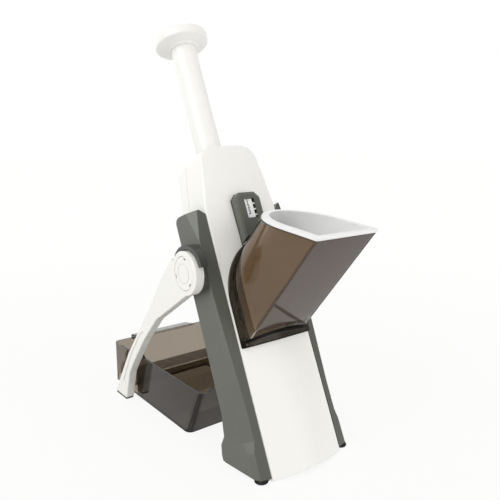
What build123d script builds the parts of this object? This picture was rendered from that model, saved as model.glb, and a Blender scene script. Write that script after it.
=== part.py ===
from build123d import *
import os
from math import cos, radians, sin, tan

# Press-type mandoline slicer. A flat housing leans back on two side rails and two folding
# legs. Food goes down the slanted chute, under the pusher, against the stop plate; the
# sprung handle drives the blade down across the chute's mouth, and the slices slide down
# the ramp into the container that stands behind.
#
# Frame: +Z up, +X to the right as seen from the front, -Y to the front, origin on the
# table under the middle of the whole. Millimetres and degrees.

# ---------------------------------------------------------------- driving dimensions
lean = 24.0                # the housing leans back from the vertical
toe_y = -105.4             # the rails' toes stand this far ahead of the origin
seam = 0.3                 # gap between neighbouring shells, covers and plates
bore_play = 0.06           # radial play of a pin, rod or shaft in its bore
wall = 2.2                 # wall of the housing shells

housing_half = 38.5        # half width of the housing between the rails
housing_depth = 43.0       # from the front edges to the back
housing_top = 281.0        # height of the crown, up the lean
shoulder_height = 222.0    # where the sides start to draw in
crown_draw = 9.5           # each side draws in this much up to the crown
crown_radius = 16.0
front_edge_radius = 2.4
back_edge_radius = 6.0
panel_drop = 2.5           # the front panel reaches this far below the toes
bulge_low = 9.0            # the front panel stands out this much at its foot
bulge_high = 4.5           # and this much at the crown

pad_height = 3.0           # rail pads
pad_boss_radius = 5.7
pad_boss_side, pad_boss_front = 6.3, 5.6
pad_strip = 1.7
pad_inset = 1.2

rail_front = 11.2          # width of a rail's front, from the housing to the ridge
rail_ridge_depth = 2.5
rail_back = 15.5           # width of a rail at its rear corner
rail_rear_depth = 25.0
rail_top = 225.0
rail_foot_depth = 41.5
rail_top_cut = 5.5         # chamfer of the rail's inner top corner
rail_chamfer_ratio = 1.9   # the ridge chamfer runs further down the side than the front
rail_ridge_least = 0.3     # chamfer of the ridge beside the hub
rail_skin = 9.0            # hub boss and collar start this far inside the rail

hub_height = 175.2         # leg pivot, up the lean
hub_depth = 13.6
hub_boss_radius = 16.0
hub_pin_radius = 4.0
hub_pin_head = 7.0
hub_pin_head_height = 2.0
shroud_inner = 19.6        # collar that shelters the top of the leg's disc
shroud_outer = 23.2
shroud_lap = 4.5           # it covers this much of the leg's thickness
shroud_start, shroud_end = 28.0, 157.0

leg_angle = 39.0           # a leg leans back from the vertical
leg_fold = 63.0            # and folds forward by this angle
leg_gap = 3.0              # the leg runs this far outside the rail
leg_thickness = 8.2
leg_disc_radius = 18.8
leg_pad_height = 2.2
hub_cap_radius = 14.2
hub_cap_depth = 1.2
cap_slot_ring = 12.6
leg_trough = 1.0
leg_toe, leg_heel = -9.0, 12.4
leg_front = (              # front edge of a leg, along it and across it, from the pivot
    (10.0, -14.5), (54.0, -0.3), (73.0, 6.0), (91.0, 7.6), (113.0, 9.2), (152.0, 8.6),
    (166.0, 7.4), (181.0, 1.5),
)
leg_back = (
    (198.0, 16.2), (150.0, 21.2), (110.0, 21.0), (60.0, 21.8), (30.0, 23.2), (6.0, 21.8),
    (4.9, 17.8), (0.0, 0.0),
)
leg_trough_line = (
    (98.0, 14.5), (112.0, 12.5), (164.0, 11.0), (184.0, 5.5), (188.0, 11.0), (150.0, 17.0),
    (115.0, 18.0),
)
leg_trough_corner = 1.2
leg_foot = 206.0
leg_reach = 229.0
cap_slot_turn = 99.0
cap_slot_width, cap_slot_length, cap_slot_depth = 1.2, 3.4, 0.8
cap_groove_radius = 8.6

shaft_depth = 26.0         # the handle's axis, behind the front edges
shaft_radius = 12.0
shaft_bore = 9.4
shaft_bottom = 227.0
shaft_top = 399.0
stroke = 88.0              # travel of the handle
knob_radius = 25.6
knob_low = 396.0
knob_height = 11.6
knob_edge = 2.6            # rounding between the knob's side and its domed top
knob_dome = 2.4
knob_cone = 2.0            # the underside falls this much towards the neck
knob_neck = 4.0
knob_neck_radius = 13.6
bush_outer = 14.6
bush_length = 18.0

feed_angle = 38.8          # the chute leans forward from the vertical
chute_wall = 2.2
chute_tail = 2.3           # the tube reaches this far behind the front plane
mouth_shoulder = 6.5       # the chute's outside lies this far inside the housing's sides
mouth_low = 105.6
mouth_spring = 142.0
mouth_crown = 44.0
mouth_corner = 2.0
flange_corner = 1.2
flange_margin = 5.0
flange_foot = 2.1
flange_step = 2.5
flange_thickness = 2.6
rim_y = -36.4              # front edge of the chute's rim, from the toes
rim_z = 197.7
rim_slope = 5.7            # the rim rises to the back
pusher_play = 0.5
pusher_wall = 2.4
pusher_floor = 15.0        # the pusher's underside stands this far off the front plane
pusher_lip = 3.0
lip_margin = 0.4
grip_pin_radius = 1.2
grip_pin_height = 4.0
pin_pitch = 12.0
pin_rise = 2.2             # the pins' pattern sits this far above the mouth's middle

bed_front = 2.6            # flat blade bed behind the front panel
bed_thickness = 2.0
bed_low = 97.0
bed_high = 216.0
bracket_low = 90.0
bracket_top = 230.0
bracket_top_thickness = 3.0
bed_side_gap = 0.5         # between the bed and the housing's wall
bracket_width = 6.0
bracket_side_gap = 0.2
bracket_top_gap = 1.2
bracket_thickness = 5.0
rod_inset = 3.2            # rods, arms and blade, from the bed's sides
rod_radius = 2.0
sleeve_top = 226.7
arm_height = 26.0
arm_inset = 0.6
arm_width = 5.3
arm_front = 5.6
arm_rear = 31.0
yoke_front = 16.0
yoke_height = 7.5
spigot_length = 14.0
blade_front = 4.9
blade_inset = 2.8
blade_thickness = 0.6
blade_seat = 12.7          # the blade's top edge lies this far below the carriage's
blade_body = 22.0
blade_notch_rise = 8.0
spring_wire = 0.4
spring_radius = 2.8
spring_turns = 15

stop_front = 6.3           # front of the stop plate at its thinnest setting
stop_thickness = 1.8
stop_travel = 4.5
stop_play = 0.4            # between the stop plate and the brackets
stop_low, stop_high = 112.0, 181.0
dial_x, dial_height = -8.0, 124.0
dial_radius = 15.0
dial_thickness = 9.0
screw_radius = 3.0
nut_radius = 6.0
nut_length = 12.0
screw_end = 14.0
dial_grips = 20
dial_grip_radius = 1.4
selector_inset, selector_height = 7.4, 118.0
selector_radius = 6.0
selector_stem = 2.6
selector_travel = 5.0
comb_low, comb_high = 98.0, 102.0
comb_inset = 3.4           # from the stop plate's sides
comb_end = 2.0
comb_front = 11.0
comb_back = 14.5
comb_blades = 9
comb_depth = 3.5
selector_head = 7.0
notch_gap = 1.0            # the stop plate clears the strip cutter's upright by this

exit_inset = 7.5           # window in the back through which the slices leave
exit_low, exit_high = 79.5, 105.5
exit_corner = 1.5
ramp_play = 1.5            # between the ramp and the window's sides
ramp_from = (44.0, 86.0)   # ends of the ramp: distance from the toes, height
ramp_to = (83.4, 53.0)
ramp_lip = 3.5
ramp_thickness = 1.8

plaque_half = 13.2         # scale plaque above the chute
plaque_rise = 47.4         # its top, and
plaque_foot = 6.0          # its foot, from the top of the mouth
plaque_face = 13.0
plaque_corner = 5.0
plaque_bevel, plaque_bevel_run = 1.0, 2.2
plaque_gap = 0.6
plaque_stand = 4.2         # height of the flange's foot above the front plane at its crown
window_x, window_width = 0.6, 11.0
window_drop = 6.3          # from the plaque's top
window_height = 17.0
slider_back, slider_front = 10.4, 12.0
slider_left, slider_right, slider_tooth = -5.2, 3.8, 6.4
slider_over, slider_under = 1.5, 0.9   # it reaches past the window's top and foot
slider_ticks = 3
slider_tick, slider_pitch = 1.3, 5.1
slider_first_tick = 4.2    # below the window's top
slider_travel = 9.0

tray_play = 5.0            # container between the legs
tray_wing = 12.6
tray_floor_gap = 0.6
tray_front_low = 103.0     # front wall at the table and at its rim, from the toes
tray_front_rim = 81.5
tray_rim = 47.0
tray_rear = 230.0
tray_rear_rim = 56.0
tray_wall = 2.0
tray_waist = 187.0
tray_shelf = 22.0
tray_shelf_start = 204.0
tray_corner = 6.0
tray_dock_play = 0.5
tray_dock_rise = 5.0
tray_dock_slant = 4.0
tray_shelf_wall = 2.0
grip_inset = 3.8
grip_rear = 249.0
grip_rise = -4.0
grip_skirt = 5.0
wing_slant = 35.0
wing_rim_y = 198.0

housing_screw_insets = ((10.5, 60.0), (15.0, 252.0))
rail_screw_spots = ((40.0, 14.0), (103.0, 12.0))
screw_core = 1.5
screw_head = 3.2
screw_head_height = 1.8
blade_screw_head, blade_screw_inset = 1.8, 7.0
boss_radius = 4.0
boss_root = 1.6            # the front bosses root in the front wall this far out
screw_bite = 14.0

# ---------------------------------------------------------------- sizes that follow
spare = 8.0                # spare length of tools that cut right through
tool_reach = rim_z + spare # length of tools along the feed
crown_half = housing_half - crown_draw
mouth_half = housing_half - mouth_shoulder
rail_ridge = (housing_half + rail_front, rail_ridge_depth)
rail_rear_half = housing_half + rail_back
leg_inner = rail_rear_half + leg_gap
leg_outer = leg_inner + leg_thickness
shroud_reach = leg_inner + shroud_lap
bed_half = housing_half - wall - bed_side_gap
bracket_inner = bed_half - bracket_width
bracket_outer = bed_half - bracket_side_gap
bracket_top_outer = bed_half - bracket_top_gap
rod_offset = bed_half - rod_inset
arm_outer = bed_half - arm_inset
arm_inner = arm_outer - arm_width
blade_half = bed_half - blade_inset
stop_half = bracket_inner - stop_play
comb_half = stop_half - comb_inset
comb_pitch = 2 * (comb_half - comb_end) / (comb_blades - 1)
selector_x = stop_half - selector_inset
exit_half = housing_half - exit_inset
ramp_half = exit_half - ramp_play
tray_half = leg_inner - tray_play
tray_wing_half = tray_half + tray_wing
tray_dock_half = housing_half + tray_dock_play
grip_half = tray_dock_half - grip_inset
housing_screw_spots = [(housing_half - inset, height) for inset, height in housing_screw_insets]
mouth_top = mouth_spring + mouth_crown
blade_top = sleeve_top - blade_seat
blade_notch = blade_top - blade_body
blade_tip = blade_notch - blade_notch_rise
plaque_top = mouth_top + plaque_rise
plaque_low = mouth_top - plaque_foot
window_high = plaque_top - window_drop
window_low = window_high - window_height
slider_low, slider_high = window_low - slider_under, window_high + slider_over

# ---------------------------------------------------------------- directions and planes
up = Vector(0, sin(radians(lean)), cos(radians(lean)))
out = Vector(0, -cos(radians(lean)), sin(radians(lean)))
feed = Vector(0, -sin(radians(feed_angle)), cos(radians(feed_angle)))
toe = Vector(0, toe_y, pad_height)

across = Plane(origin=toe, x_dir=(1, 0, 0), z_dir=up)       # x, depth; heights along the lean
facing = Plane(origin=toe, x_dir=(1, 0, 0), z_dir=out)      # x, height; seen from the front
beside = Plane(origin=toe, x_dir=up, z_dir=(1, 0, 0))       # height, forward; seen from +X
ground = Plane(origin=(0, toe_y, 0), x_dir=(0, 1, 0), z_dir=(1, 0, 0))   # y from the toes, z


def spot(x, height, depth):
    """Point of the housing: across, up the lean, and back from the front plane."""
    return Vector(x, 0, 0) + toe + up * height - out * depth


hub = spot(0, hub_height, hub_depth)
hub_plane = Plane(origin=hub, x_dir=(0, 1, 0), z_dir=(1, 0, 0))
leg_plane = Plane(
    origin=hub, x_dir=(0, sin(radians(leg_angle)), -cos(radians(leg_angle))), z_dir=(1, 0, 0)
)
press_axis = Axis(spot(0, 0, shaft_depth), up)
rim_plane = Plane(
    origin=(0, toe_y + rim_y, rim_z),
    x_dir=(1, 0, 0),
    z_dir=(0, -sin(radians(rim_slope)), cos(radians(rim_slope))),
)


# ---------------------------------------------------------------- shared outlines
def housing_outline(inset, low, depth=0):
    """Front view of the housing, moved in by inset, from the height low up."""
    half = housing_half - inset
    top_half = crown_half - inset
    with BuildSketch(facing.offset(-depth)) as outline:
        with BuildLine():
            Polyline(
                (-half, low), (half, low), (half, shoulder_height),
                (top_half, housing_top - inset), (-top_half, housing_top - inset),
                (-half, shoulder_height), close=True,
            )
        make_face()
        fillet(outline.vertices().group_by(Axis.Y)[-1], radius=crown_radius - inset)
    return outline.sketch


def bulge_at(height):
    """How far the front panel's middle stands out at this height."""
    return bulge_low + (bulge_high - bulge_low) * height / housing_top


def convex_block(skin, back):
    """Block behind the convex front, moved out by skin, down to the depth back."""
    with BuildPart() as block:
        for height in (-2 * spare, housing_top + spare):
            with BuildSketch(across.offset(height)):
                with BuildLine():
                    ThreePointArc(
                        (-housing_half, -skin), (0, -skin - bulge_at(height)), (housing_half, -skin)
                    )
                    Polyline(
                        (housing_half, -skin), (housing_half, back),
                        (-housing_half, back), (-housing_half, -skin),
                    )
                make_face()
        loft(ruled=True)
    return block.part


def arch(margin, foot=None, stand=0):
    """Outline of the chute's mouth, moved out by margin, stand in front of the front plane."""
    half = mouth_half + margin
    low = mouth_low - (margin if foot is None else foot)
    with BuildSketch(facing.offset(stand)) as outline:
        with BuildLine():
            Polyline((-half, mouth_spring), (-half, low), (half, low), (half, mouth_spring))
            EllipticalCenterArc(
                (0, mouth_spring), half, mouth_crown + margin, start_angle=0, arc_size=180
            )
        make_face()
        corner = max(mouth_corner + margin, 0.8) if foot is None else flange_corner
        fillet(outline.vertices().group_by(Axis.Y)[0], radius=corner)
    return outline.sketch


def on_front(outline, low, high):
    """Plate of an outline that follows the convex front, from low to high above it."""
    over = convex_block(high, spare)
    under = convex_block(low, spare)
    with BuildPart() as plate:
        extrude(outline, amount=2 * bulge_low)
        add(over, mode=Mode.INTERSECT)
        add(under, mode=Mode.SUBTRACT)
    return plate.part


def save(part, name):
    """Labels a finished piece and writes its file."""
    part.label = name
    export_step(part, f"parts/{name}.step")


def save_pair(part, name):
    """Writes a right-hand piece and its left-hand mirror image."""
    with BuildPart() as twin:
        mirror(part, about=Plane.YZ)
    save(part, f"right_{name}")
    save(twin.part, f"left_{name}")


os.makedirs("parts", exist_ok=True)

# ---------------------------------------------------------------- front shell
slider_slot = (window_x, (window_low + window_high) / 2)
shell_cavity_tool = convex_block(-wall, shaft_depth + spare)
shell_block = convex_block(0, shaft_depth)
with BuildPart() as front_cavity:
    extrude(housing_outline(wall, -3 * spare), amount=-shaft_depth - 1)
    extrude(housing_outline(wall, -3 * spare), amount=2 * bulge_low)
    add(shell_cavity_tool, mode=Mode.INTERSECT)

with BuildPart() as front_shell:
    extrude(housing_outline(0, -panel_drop), amount=-shaft_depth)
    extrude(housing_outline(0, -panel_drop), amount=2 * bulge_low)
    add(shell_block, mode=Mode.INTERSECT)
    split(bisect_by=Plane.XY.offset(0.8), keep=Keep.TOP)
    front_face = front_shell.faces().filter_by(
        lambda face: face.normal_at().dot(out) > 0.9
    ).sort_by(Axis(toe, out))[-1]
    fillet(
        front_face.edges().filter_by(lambda edge: edge.center().Z > 2 * pad_height),
        radius=front_edge_radius,
    )
    add(front_cavity.part, mode=Mode.SUBTRACT)
    # opening for the chute's tail, cut along the feed
    extrude(arch(seam), amount=20, dir=feed, mode=Mode.SUBTRACT)
    extrude(arch(seam), amount=20, dir=-feed, mode=Mode.SUBTRACT)
    # bore for the handle's bush, shared with the rear shell
    with BuildSketch(across.offset(housing_top - 2 * wall)):
        with Locations((0, shaft_depth)):
            Circle(bush_outer + bore_play)
    extrude(amount=4 * wall, mode=Mode.SUBTRACT)
    # slot behind the scale window
    with BuildSketch(facing):
        with Locations(slider_slot):
            Rectangle(window_width, window_high - window_low)
    extrude(amount=2 * bulge_low, mode=Mode.SUBTRACT)
    # screw bosses reach back from the front wall to the parting line
    for x, height in housing_screw_spots:
        for side in (-1, 1):
            with BuildSketch(facing.offset(-shaft_depth)):
                with Locations((side * x, height)):
                    Circle(boss_radius)
            extrude(amount=shaft_depth + boss_root)
            with BuildSketch(facing.offset(-shaft_depth)):
                with Locations((side * x, height)):
                    Circle(screw_core + bore_play)
            extrude(amount=screw_bite, mode=Mode.SUBTRACT)
    # holes for the screws that hold the rails
    for height, depth in rail_screw_spots:
        with BuildSketch(beside.offset(-housing_half)):
            with Locations((height, -depth)):
                Circle(screw_core + bore_play)
        extrude(amount=2 * housing_half, mode=Mode.SUBTRACT)
save(front_shell.part, "front_shell")

# ---------------------------------------------------------------- rear shell
rear_start = shaft_depth + seam
with BuildPart() as rear_shell:
    extrude(housing_outline(0, -panel_drop, rear_start), amount=-(housing_depth - rear_start))
    split(bisect_by=Plane.XY.offset(pad_height + seam), keep=Keep.TOP)
    back_face = rear_shell.faces().sort_by(Axis(toe, out))[0]
    fillet(
        back_face.edges().filter_by(lambda edge: edge.center().Z > 4 * pad_height),
        radius=back_edge_radius,
    )
    extrude(
        housing_outline(wall, -3 * spare, housing_depth - wall),
        amount=housing_depth, mode=Mode.SUBTRACT,
    )
    # exit window
    with BuildSketch(facing.offset(-housing_depth)):
        with Locations((0, (exit_low + exit_high) / 2)):
            RectangleRounded(2 * exit_half, exit_high - exit_low, exit_corner)
    extrude(amount=2 * wall, mode=Mode.SUBTRACT)
    # bores of the dial and the selector
    with BuildSketch(facing.offset(-housing_depth)):
        with Locations((dial_x, dial_height)):
            Circle(screw_radius + bore_play)
        with Locations((selector_x, selector_height)):
            Circle(selector_stem + bore_play)
    extrude(amount=2 * wall, mode=Mode.SUBTRACT)
    # bore of the bush
    with BuildSketch(across.offset(housing_top - 2 * wall)):
        with Locations((0, shaft_depth)):
            Circle(bush_outer + bore_play)
    extrude(amount=4 * wall, mode=Mode.SUBTRACT)
    # screw bosses, counterbored from behind
    for x, height in housing_screw_spots:
        for side in (-1, 1):
            with BuildSketch(facing.offset(-(housing_depth - wall))):
                with Locations((side * x, height)):
                    Circle(boss_radius)
            extrude(amount=housing_depth - wall - rear_start)
            with BuildSketch(facing.offset(-housing_depth)):
                with Locations((side * x, height)):
                    Circle(screw_core + bore_play)
            extrude(amount=housing_depth, mode=Mode.SUBTRACT)
            with BuildSketch(facing.offset(-housing_depth)):
                with Locations((side * x, height)):
                    Circle(screw_head + seam)
            extrude(amount=screw_head_height + seam, mode=Mode.SUBTRACT)
save(rear_shell.part, "rear_shell")

# ---------------------------------------------------------------- rails, pads and hubs
def rail_section(chamfer, depth):
    """Corners of a rail's section: inner front, two ridges, outer rear, inner rear."""
    ridge_x, ridge_d = rail_ridge
    inner = housing_half + seam
    front_run = Vector(inner - ridge_x, -ridge_d).normalized() * chamfer
    side_run = Vector(rail_rear_half - ridge_x, rail_rear_depth - ridge_d).normalized()
    side_run = side_run * chamfer * rail_chamfer_ratio
    side_slope = (rail_rear_half - ridge_x) / (rail_rear_depth - ridge_d)
    outer = ridge_x + (depth - ridge_d) * side_slope * rail_rear_depth / depth
    return (
        (inner, 0),
        (ridge_x + front_run.X, ridge_d + front_run.Y),
        (ridge_x + side_run.X, ridge_d + side_run.Y),
        (outer, depth),
        (inner, depth),
    )


rail_stations = (          # height, chamfer of the ridge, depth
    (-spare, 1.6, rail_foot_depth),
    (22.5, 2.2, rail_foot_depth - 0.8),
    (31.3, 4.4, rail_foot_depth - 3.6),
    (38.0, 4.5, 30.5),
    (58.0, 4.5, rail_rear_depth + 1),
    (150.0, rail_ridge_least, rail_rear_depth + 0.2),
    (199.0, rail_ridge_least, rail_rear_depth + 0.1),
    (rail_top, 4.4, rail_rear_depth),
)
with BuildPart() as right_rail:
    for height, chamfer_size, depth in rail_stations:
        with BuildSketch(across.offset(height)):
            with BuildLine():
                Polyline(*rail_section(chamfer_size, depth), close=True)
            make_face()
    loft(ruled=True)
    split(bisect_by=Plane.XY.offset(pad_height), keep=Keep.TOP)
    # the top slopes off towards the housing and is rounded at the back
    top_face = right_rail.faces().sort_by(Axis(toe, up))[-1]
    chamfer(top_face.edges().sort_by(Axis.X)[0], length=rail_top_cut - 1, length2=rail_top_cut - 1)
    top_face = right_rail.faces().sort_by(Axis(toe, up))[-1]
    fillet(top_face.edges().sort_by(Axis(toe, out))[0], radius=rail_top_cut)
    # hub boss and the collar around the top of the leg's disc
    with BuildSketch(hub_plane.offset(housing_half + seam + rail_skin)):
        Circle(hub_boss_radius)
    extrude(amount=leg_inner - seam - housing_half - seam - rail_skin)
    with BuildSketch(hub_plane.offset(housing_half + seam + rail_skin)):
        with BuildLine():
            middle = (shroud_start + shroud_end) / 2
            start, mid, end = (
                Vector(cos(radians(a)), sin(radians(a)))
                for a in (shroud_start, middle, shroud_end)
            )
            ThreePointArc(start * shroud_inner, mid * shroud_inner, end * shroud_inner)
            Line(end * shroud_inner, end * shroud_outer)
            ThreePointArc(end * shroud_outer, mid * shroud_outer, start * shroud_outer)
            Line(start * shroud_outer, start * shroud_inner)
        make_face()
    extrude(amount=shroud_reach - housing_half - seam - rail_skin)
    # the collar leaves the rail's front and ridge clear
    ridge_corners = rail_section(rail_ridge_least, rail_rear_depth)[:3]
    collar_inner = rail_rear_half + seam
    with BuildSketch(across.offset(hub_height - shroud_outer - spare)):
        with BuildLine():
            Polyline(
                *ridge_corners, (collar_inner, ridge_corners[2][1]),
                (collar_inner, -shroud_outer), (housing_half + seam, -shroud_outer), close=True,
            )
        make_face()
    extrude(amount=2 * (shroud_outer + spare), mode=Mode.SUBTRACT)
    # bore for the hub pin
    with BuildSketch(hub_plane):
        Circle(hub_pin_radius + bore_play)
    extrude(amount=2 * housing_half, mode=Mode.SUBTRACT)
    # pilot holes for the screws from inside the housing
    for height, depth in rail_screw_spots:
        with BuildSketch(beside):
            with Locations((height, -depth)):
                Circle(screw_core + bore_play)
        extrude(amount=housing_half + screw_bite / 2 + bore_play, mode=Mode.SUBTRACT)
save_pair(right_rail.part, "rail")

pad_depth = rail_foot_depth / cos(radians(lean))
with BuildPart() as right_rail_pad:
    with BuildSketch(Plane.XY.offset(pad_height - pad_strip)):
        with BuildLine():
            Polyline(
                (housing_half + seam + pad_inset, toe_y + pad_inset),
                (rail_ridge[0] - pad_inset, toe_y + 2 * pad_inset),
                (rail_rear_half - pad_inset, toe_y + pad_depth - pad_inset),
                (housing_half + seam + pad_inset, toe_y + pad_depth - pad_inset), close=True,
            )
        make_face()
    extrude(amount=pad_strip)
    with BuildSketch(Plane.XY):
        for y in (pad_boss_front, pad_depth - pad_boss_radius - 2 * pad_inset):
            with Locations((housing_half + pad_boss_side, toe_y + y)):
                Circle(pad_boss_radius)
    extrude(amount=pad_height - pad_strip)
    fillet(
        right_rail_pad.faces().sort_by(Axis.Z)[0].edges()
        + right_rail_pad.faces().sort_by(Axis.Z)[1].edges(),
        radius=0.8,
    )
save_pair(right_rail_pad.part, "rail_pad")

with BuildPart() as right_hub_pin:
    with BuildSketch(hub_plane.offset(housing_half + 2 * seam)):
        Circle(hub_pin_radius)
    extrude(amount=leg_outer - hub_cap_depth - seam - housing_half - 2 * seam)
    with BuildSketch(hub_plane.offset(leg_outer - hub_cap_depth - hub_pin_head_height - seam)):
        Circle(hub_pin_head)
    extrude(amount=hub_pin_head_height)
save_pair(right_hub_pin.part, "hub_pin")

# ---------------------------------------------------------------- legs
with BuildPart() as right_leg:
    with BuildSketch(leg_plane.offset(leg_inner)):
        Circle(leg_disc_radius)
        with BuildLine():
            Polyline(
                *leg_front, (leg_foot, leg_toe), (leg_reach, leg_toe), (leg_reach, leg_heel),
                *leg_back, close=True,
            )
        make_face()
    extrude(amount=leg_outer - leg_inner)
    split(bisect_by=Plane.XY.offset(leg_pad_height), keep=Keep.TOP)
    outer_face = right_leg.faces().sort_by(Axis.X)[-1]
    fillet(outer_face.edges().filter_by(lambda e: e.center().Z > 2 * leg_pad_height), radius=1.0)
    # shallow trough in the lower half, and a recess for the hub cap
    with BuildSketch(leg_plane.offset(leg_outer - leg_trough)) as trough:
        with BuildLine():
            Polyline(*leg_trough_line, close=True)
        make_face()
        fillet(trough.vertices(), radius=leg_trough_corner)
    extrude(amount=leg_trough, mode=Mode.SUBTRACT)
    with BuildSketch(leg_plane.offset(leg_outer - hub_cap_depth)):
        Circle(hub_cap_radius + seam)
    extrude(amount=hub_cap_depth, mode=Mode.SUBTRACT)
    with BuildSketch(leg_plane.offset(leg_outer - hub_cap_depth - hub_pin_head_height - 2 * seam)):
        Circle(hub_pin_head + seam)
    extrude(amount=hub_pin_head_height + 2 * seam, mode=Mode.SUBTRACT)
    with BuildSketch(leg_plane):
        Circle(hub_pin_radius + bore_play)
    extrude(amount=leg_outer, mode=Mode.SUBTRACT)
save_pair(right_leg.part, "leg")

with BuildPart() as right_leg_pad:
    with BuildSketch(leg_plane.offset(leg_inner + seam)):
        with BuildLine():
            Polyline(
                (leg_foot - 30, leg_toe + 6), (leg_foot - 10, leg_toe + 4.5),
                (leg_foot, leg_toe + seam), (leg_reach + 9, leg_toe + seam),
                (leg_reach + 9, leg_heel - 1), (leg_reach - 60, leg_heel + 3), close=True,
            )
        make_face()
    extrude(amount=leg_outer - leg_inner - 2 * seam)
    split(bisect_by=Plane.XY.offset(leg_pad_height), keep=Keep.BOTTOM)
    split(bisect_by=Plane.XY, keep=Keep.TOP)
save_pair(right_leg_pad.part, "leg_pad")

with BuildPart() as right_hub_cap:
    with BuildSketch(hub_plane.offset(leg_outer - hub_cap_depth + bore_play)):
        Circle(hub_cap_radius)
    extrude(amount=hub_cap_depth - bore_play)
    fillet(right_hub_cap.edges().sort_by(Axis.X)[-1], radius=0.4)
    with BuildSketch(hub_plane.offset(leg_outer - cap_slot_depth)):
        with PolarLocations(cap_slot_ring, 3, start_angle=cap_slot_turn):
            Rectangle(cap_slot_width, cap_slot_length)
    extrude(amount=cap_slot_depth, mode=Mode.SUBTRACT)
    # fine ring groove
    with BuildSketch(hub_plane.offset(leg_outer - seam)):
        Circle(cap_groove_radius)
        Circle(cap_groove_radius - 2 * seam, mode=Mode.SUBTRACT)
    extrude(amount=seam, mode=Mode.SUBTRACT)
save_pair(right_hub_cap.part, "hub_cap")

# ---------------------------------------------------------------- press: shaft, knob, bush
with BuildPart() as press_shaft:
    with BuildSketch(across.offset(shaft_bottom)):
        with Locations((0, shaft_depth)):
            Circle(shaft_radius)
            Circle(shaft_bore, mode=Mode.SUBTRACT)
    extrude(amount=shaft_top - shaft_bottom)
save(press_shaft.part, "press_shaft")

knob_plane = Plane(origin=spot(0, 0, shaft_depth), x_dir=-out, z_dir=(1, 0, 0))
with BuildPart() as press_knob:
    with BuildSketch(knob_plane):
        with BuildLine():
            dome_start = (knob_radius - knob_edge, knob_low + knob_height - knob_dome)
            top = (0, knob_low + knob_height)
            edge_mid = (
                knob_radius - knob_edge * (1 - cos(radians(45))),
                dome_start[1] - knob_edge * (1 - sin(radians(45))),
            )
            Polyline(
                (0, knob_low - knob_neck), (knob_neck_radius, knob_low - knob_neck),
                (knob_neck_radius + 1.2, knob_low - knob_cone),
                (knob_radius - 1.0, knob_low), (knob_radius, knob_low + 1.0),
                (knob_radius, dome_start[1] - knob_edge),
            )
            ThreePointArc((knob_radius, dome_start[1] - knob_edge), edge_mid, dome_start)
            dome_sphere = (dome_start[0] ** 2 + knob_dome ** 2) / (2 * knob_dome)
            sag = dome_sphere - (dome_sphere ** 2 - dome_start[0] ** 2 / 4) ** 0.5
            ThreePointArc(dome_start, (dome_start[0] / 2, top[1] - sag), top)
            Line(top, (0, knob_low - knob_neck))
        make_face()
    revolve(axis=press_axis)
    with BuildSketch(across.offset(knob_low - knob_neck)):
        with Locations((0, shaft_depth)):
            Circle(shaft_radius + bore_play)
    extrude(amount=shaft_top + bore_play - knob_low + knob_neck, mode=Mode.SUBTRACT)
save(press_knob.part, "press_knob")

with BuildPart() as shaft_bush:
    with BuildSketch(across.offset(housing_top - bush_length)):
        with Locations((0, shaft_depth)):
            Circle(bush_outer)
            Circle(shaft_radius + bore_play, mode=Mode.SUBTRACT)
    extrude(amount=bush_length + 2 * seam)
save(shaft_bush.part, "shaft_bush")

# ---------------------------------------------------------------- blade bed, rods, springs
with BuildPart() as blade_bed:
    with BuildSketch(facing.offset(-bed_front)):
        with BuildLine():
            Polyline(
                (-bed_half, bed_low), (-bed_half, bracket_low), (-bracket_inner, bracket_low),
                (-bracket_inner, bed_low), (bracket_inner, bed_low), (bracket_inner, bracket_low),
                (bed_half, bracket_low), (bed_half, bed_high), (bracket_top_outer, bed_high),
                (bracket_top_outer, bracket_top), (bracket_inner, bracket_top),
                (bracket_inner, bed_high), (-bracket_inner, bed_high),
                (-bracket_inner, bracket_top), (-bracket_top_outer, bracket_top),
                (-bracket_top_outer, bed_high), (-bed_half, bed_high), (-bed_half, bed_low),
            )
        make_face()
    extrude(amount=-bed_thickness)
    for side in (-1, 1):
        for low, high, outer in (
            (bracket_low, bracket_low + bracket_thickness, bracket_outer),
            (bracket_top - bracket_top_thickness, bracket_top, bracket_top_outer),
        ):
            with BuildSketch(across.offset(low)):
                with Locations((side * (bracket_inner + outer) / 2, (bed_front + arm_rear) / 2)):
                    Rectangle(outer - bracket_inner, arm_rear - bed_front)
            extrude(amount=high - low)
            with BuildSketch(across.offset(low - spare)):
                with Locations((side * rod_offset, shaft_depth)):
                    Circle(rod_radius + bore_play)
            extrude(amount=high - low + 2 * spare, mode=Mode.SUBTRACT)
    extrude(arch(-chute_wall), amount=4 * bed_thickness, dir=-feed, mode=Mode.SUBTRACT)
save(blade_bed.part, "blade_bed")

rod_spots = [(-rod_offset, shaft_depth), (rod_offset, shaft_depth)]
with BuildPart() as guide_rods:
    with BuildSketch(across.offset(bracket_low + seam)):
        with Locations(*rod_spots):
            Circle(rod_radius)
    extrude(amount=bracket_top - bracket_low - 2 * seam)
save(guide_rods.part, "guide_rods")

spring_low = bracket_low + bracket_thickness + seam
spring_high = sleeve_top - arm_height - seam
spring_rise = spring_high - spring_low - 2 * spring_wire
with BuildPart() as right_spring:
    with BuildLine() as coil:
        Helix(
            pitch=spring_rise / spring_turns, height=spring_rise, radius=spring_radius,
            center=spot(rod_offset, spring_low + spring_wire, shaft_depth), direction=up,
        )
    with BuildSketch(Plane(origin=coil.line @ 0, z_dir=coil.line % 0)):
        RegularPolygon(spring_wire, 6)
    sweep(is_frenet=True)
save_pair(right_spring.part, "spring")

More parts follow.
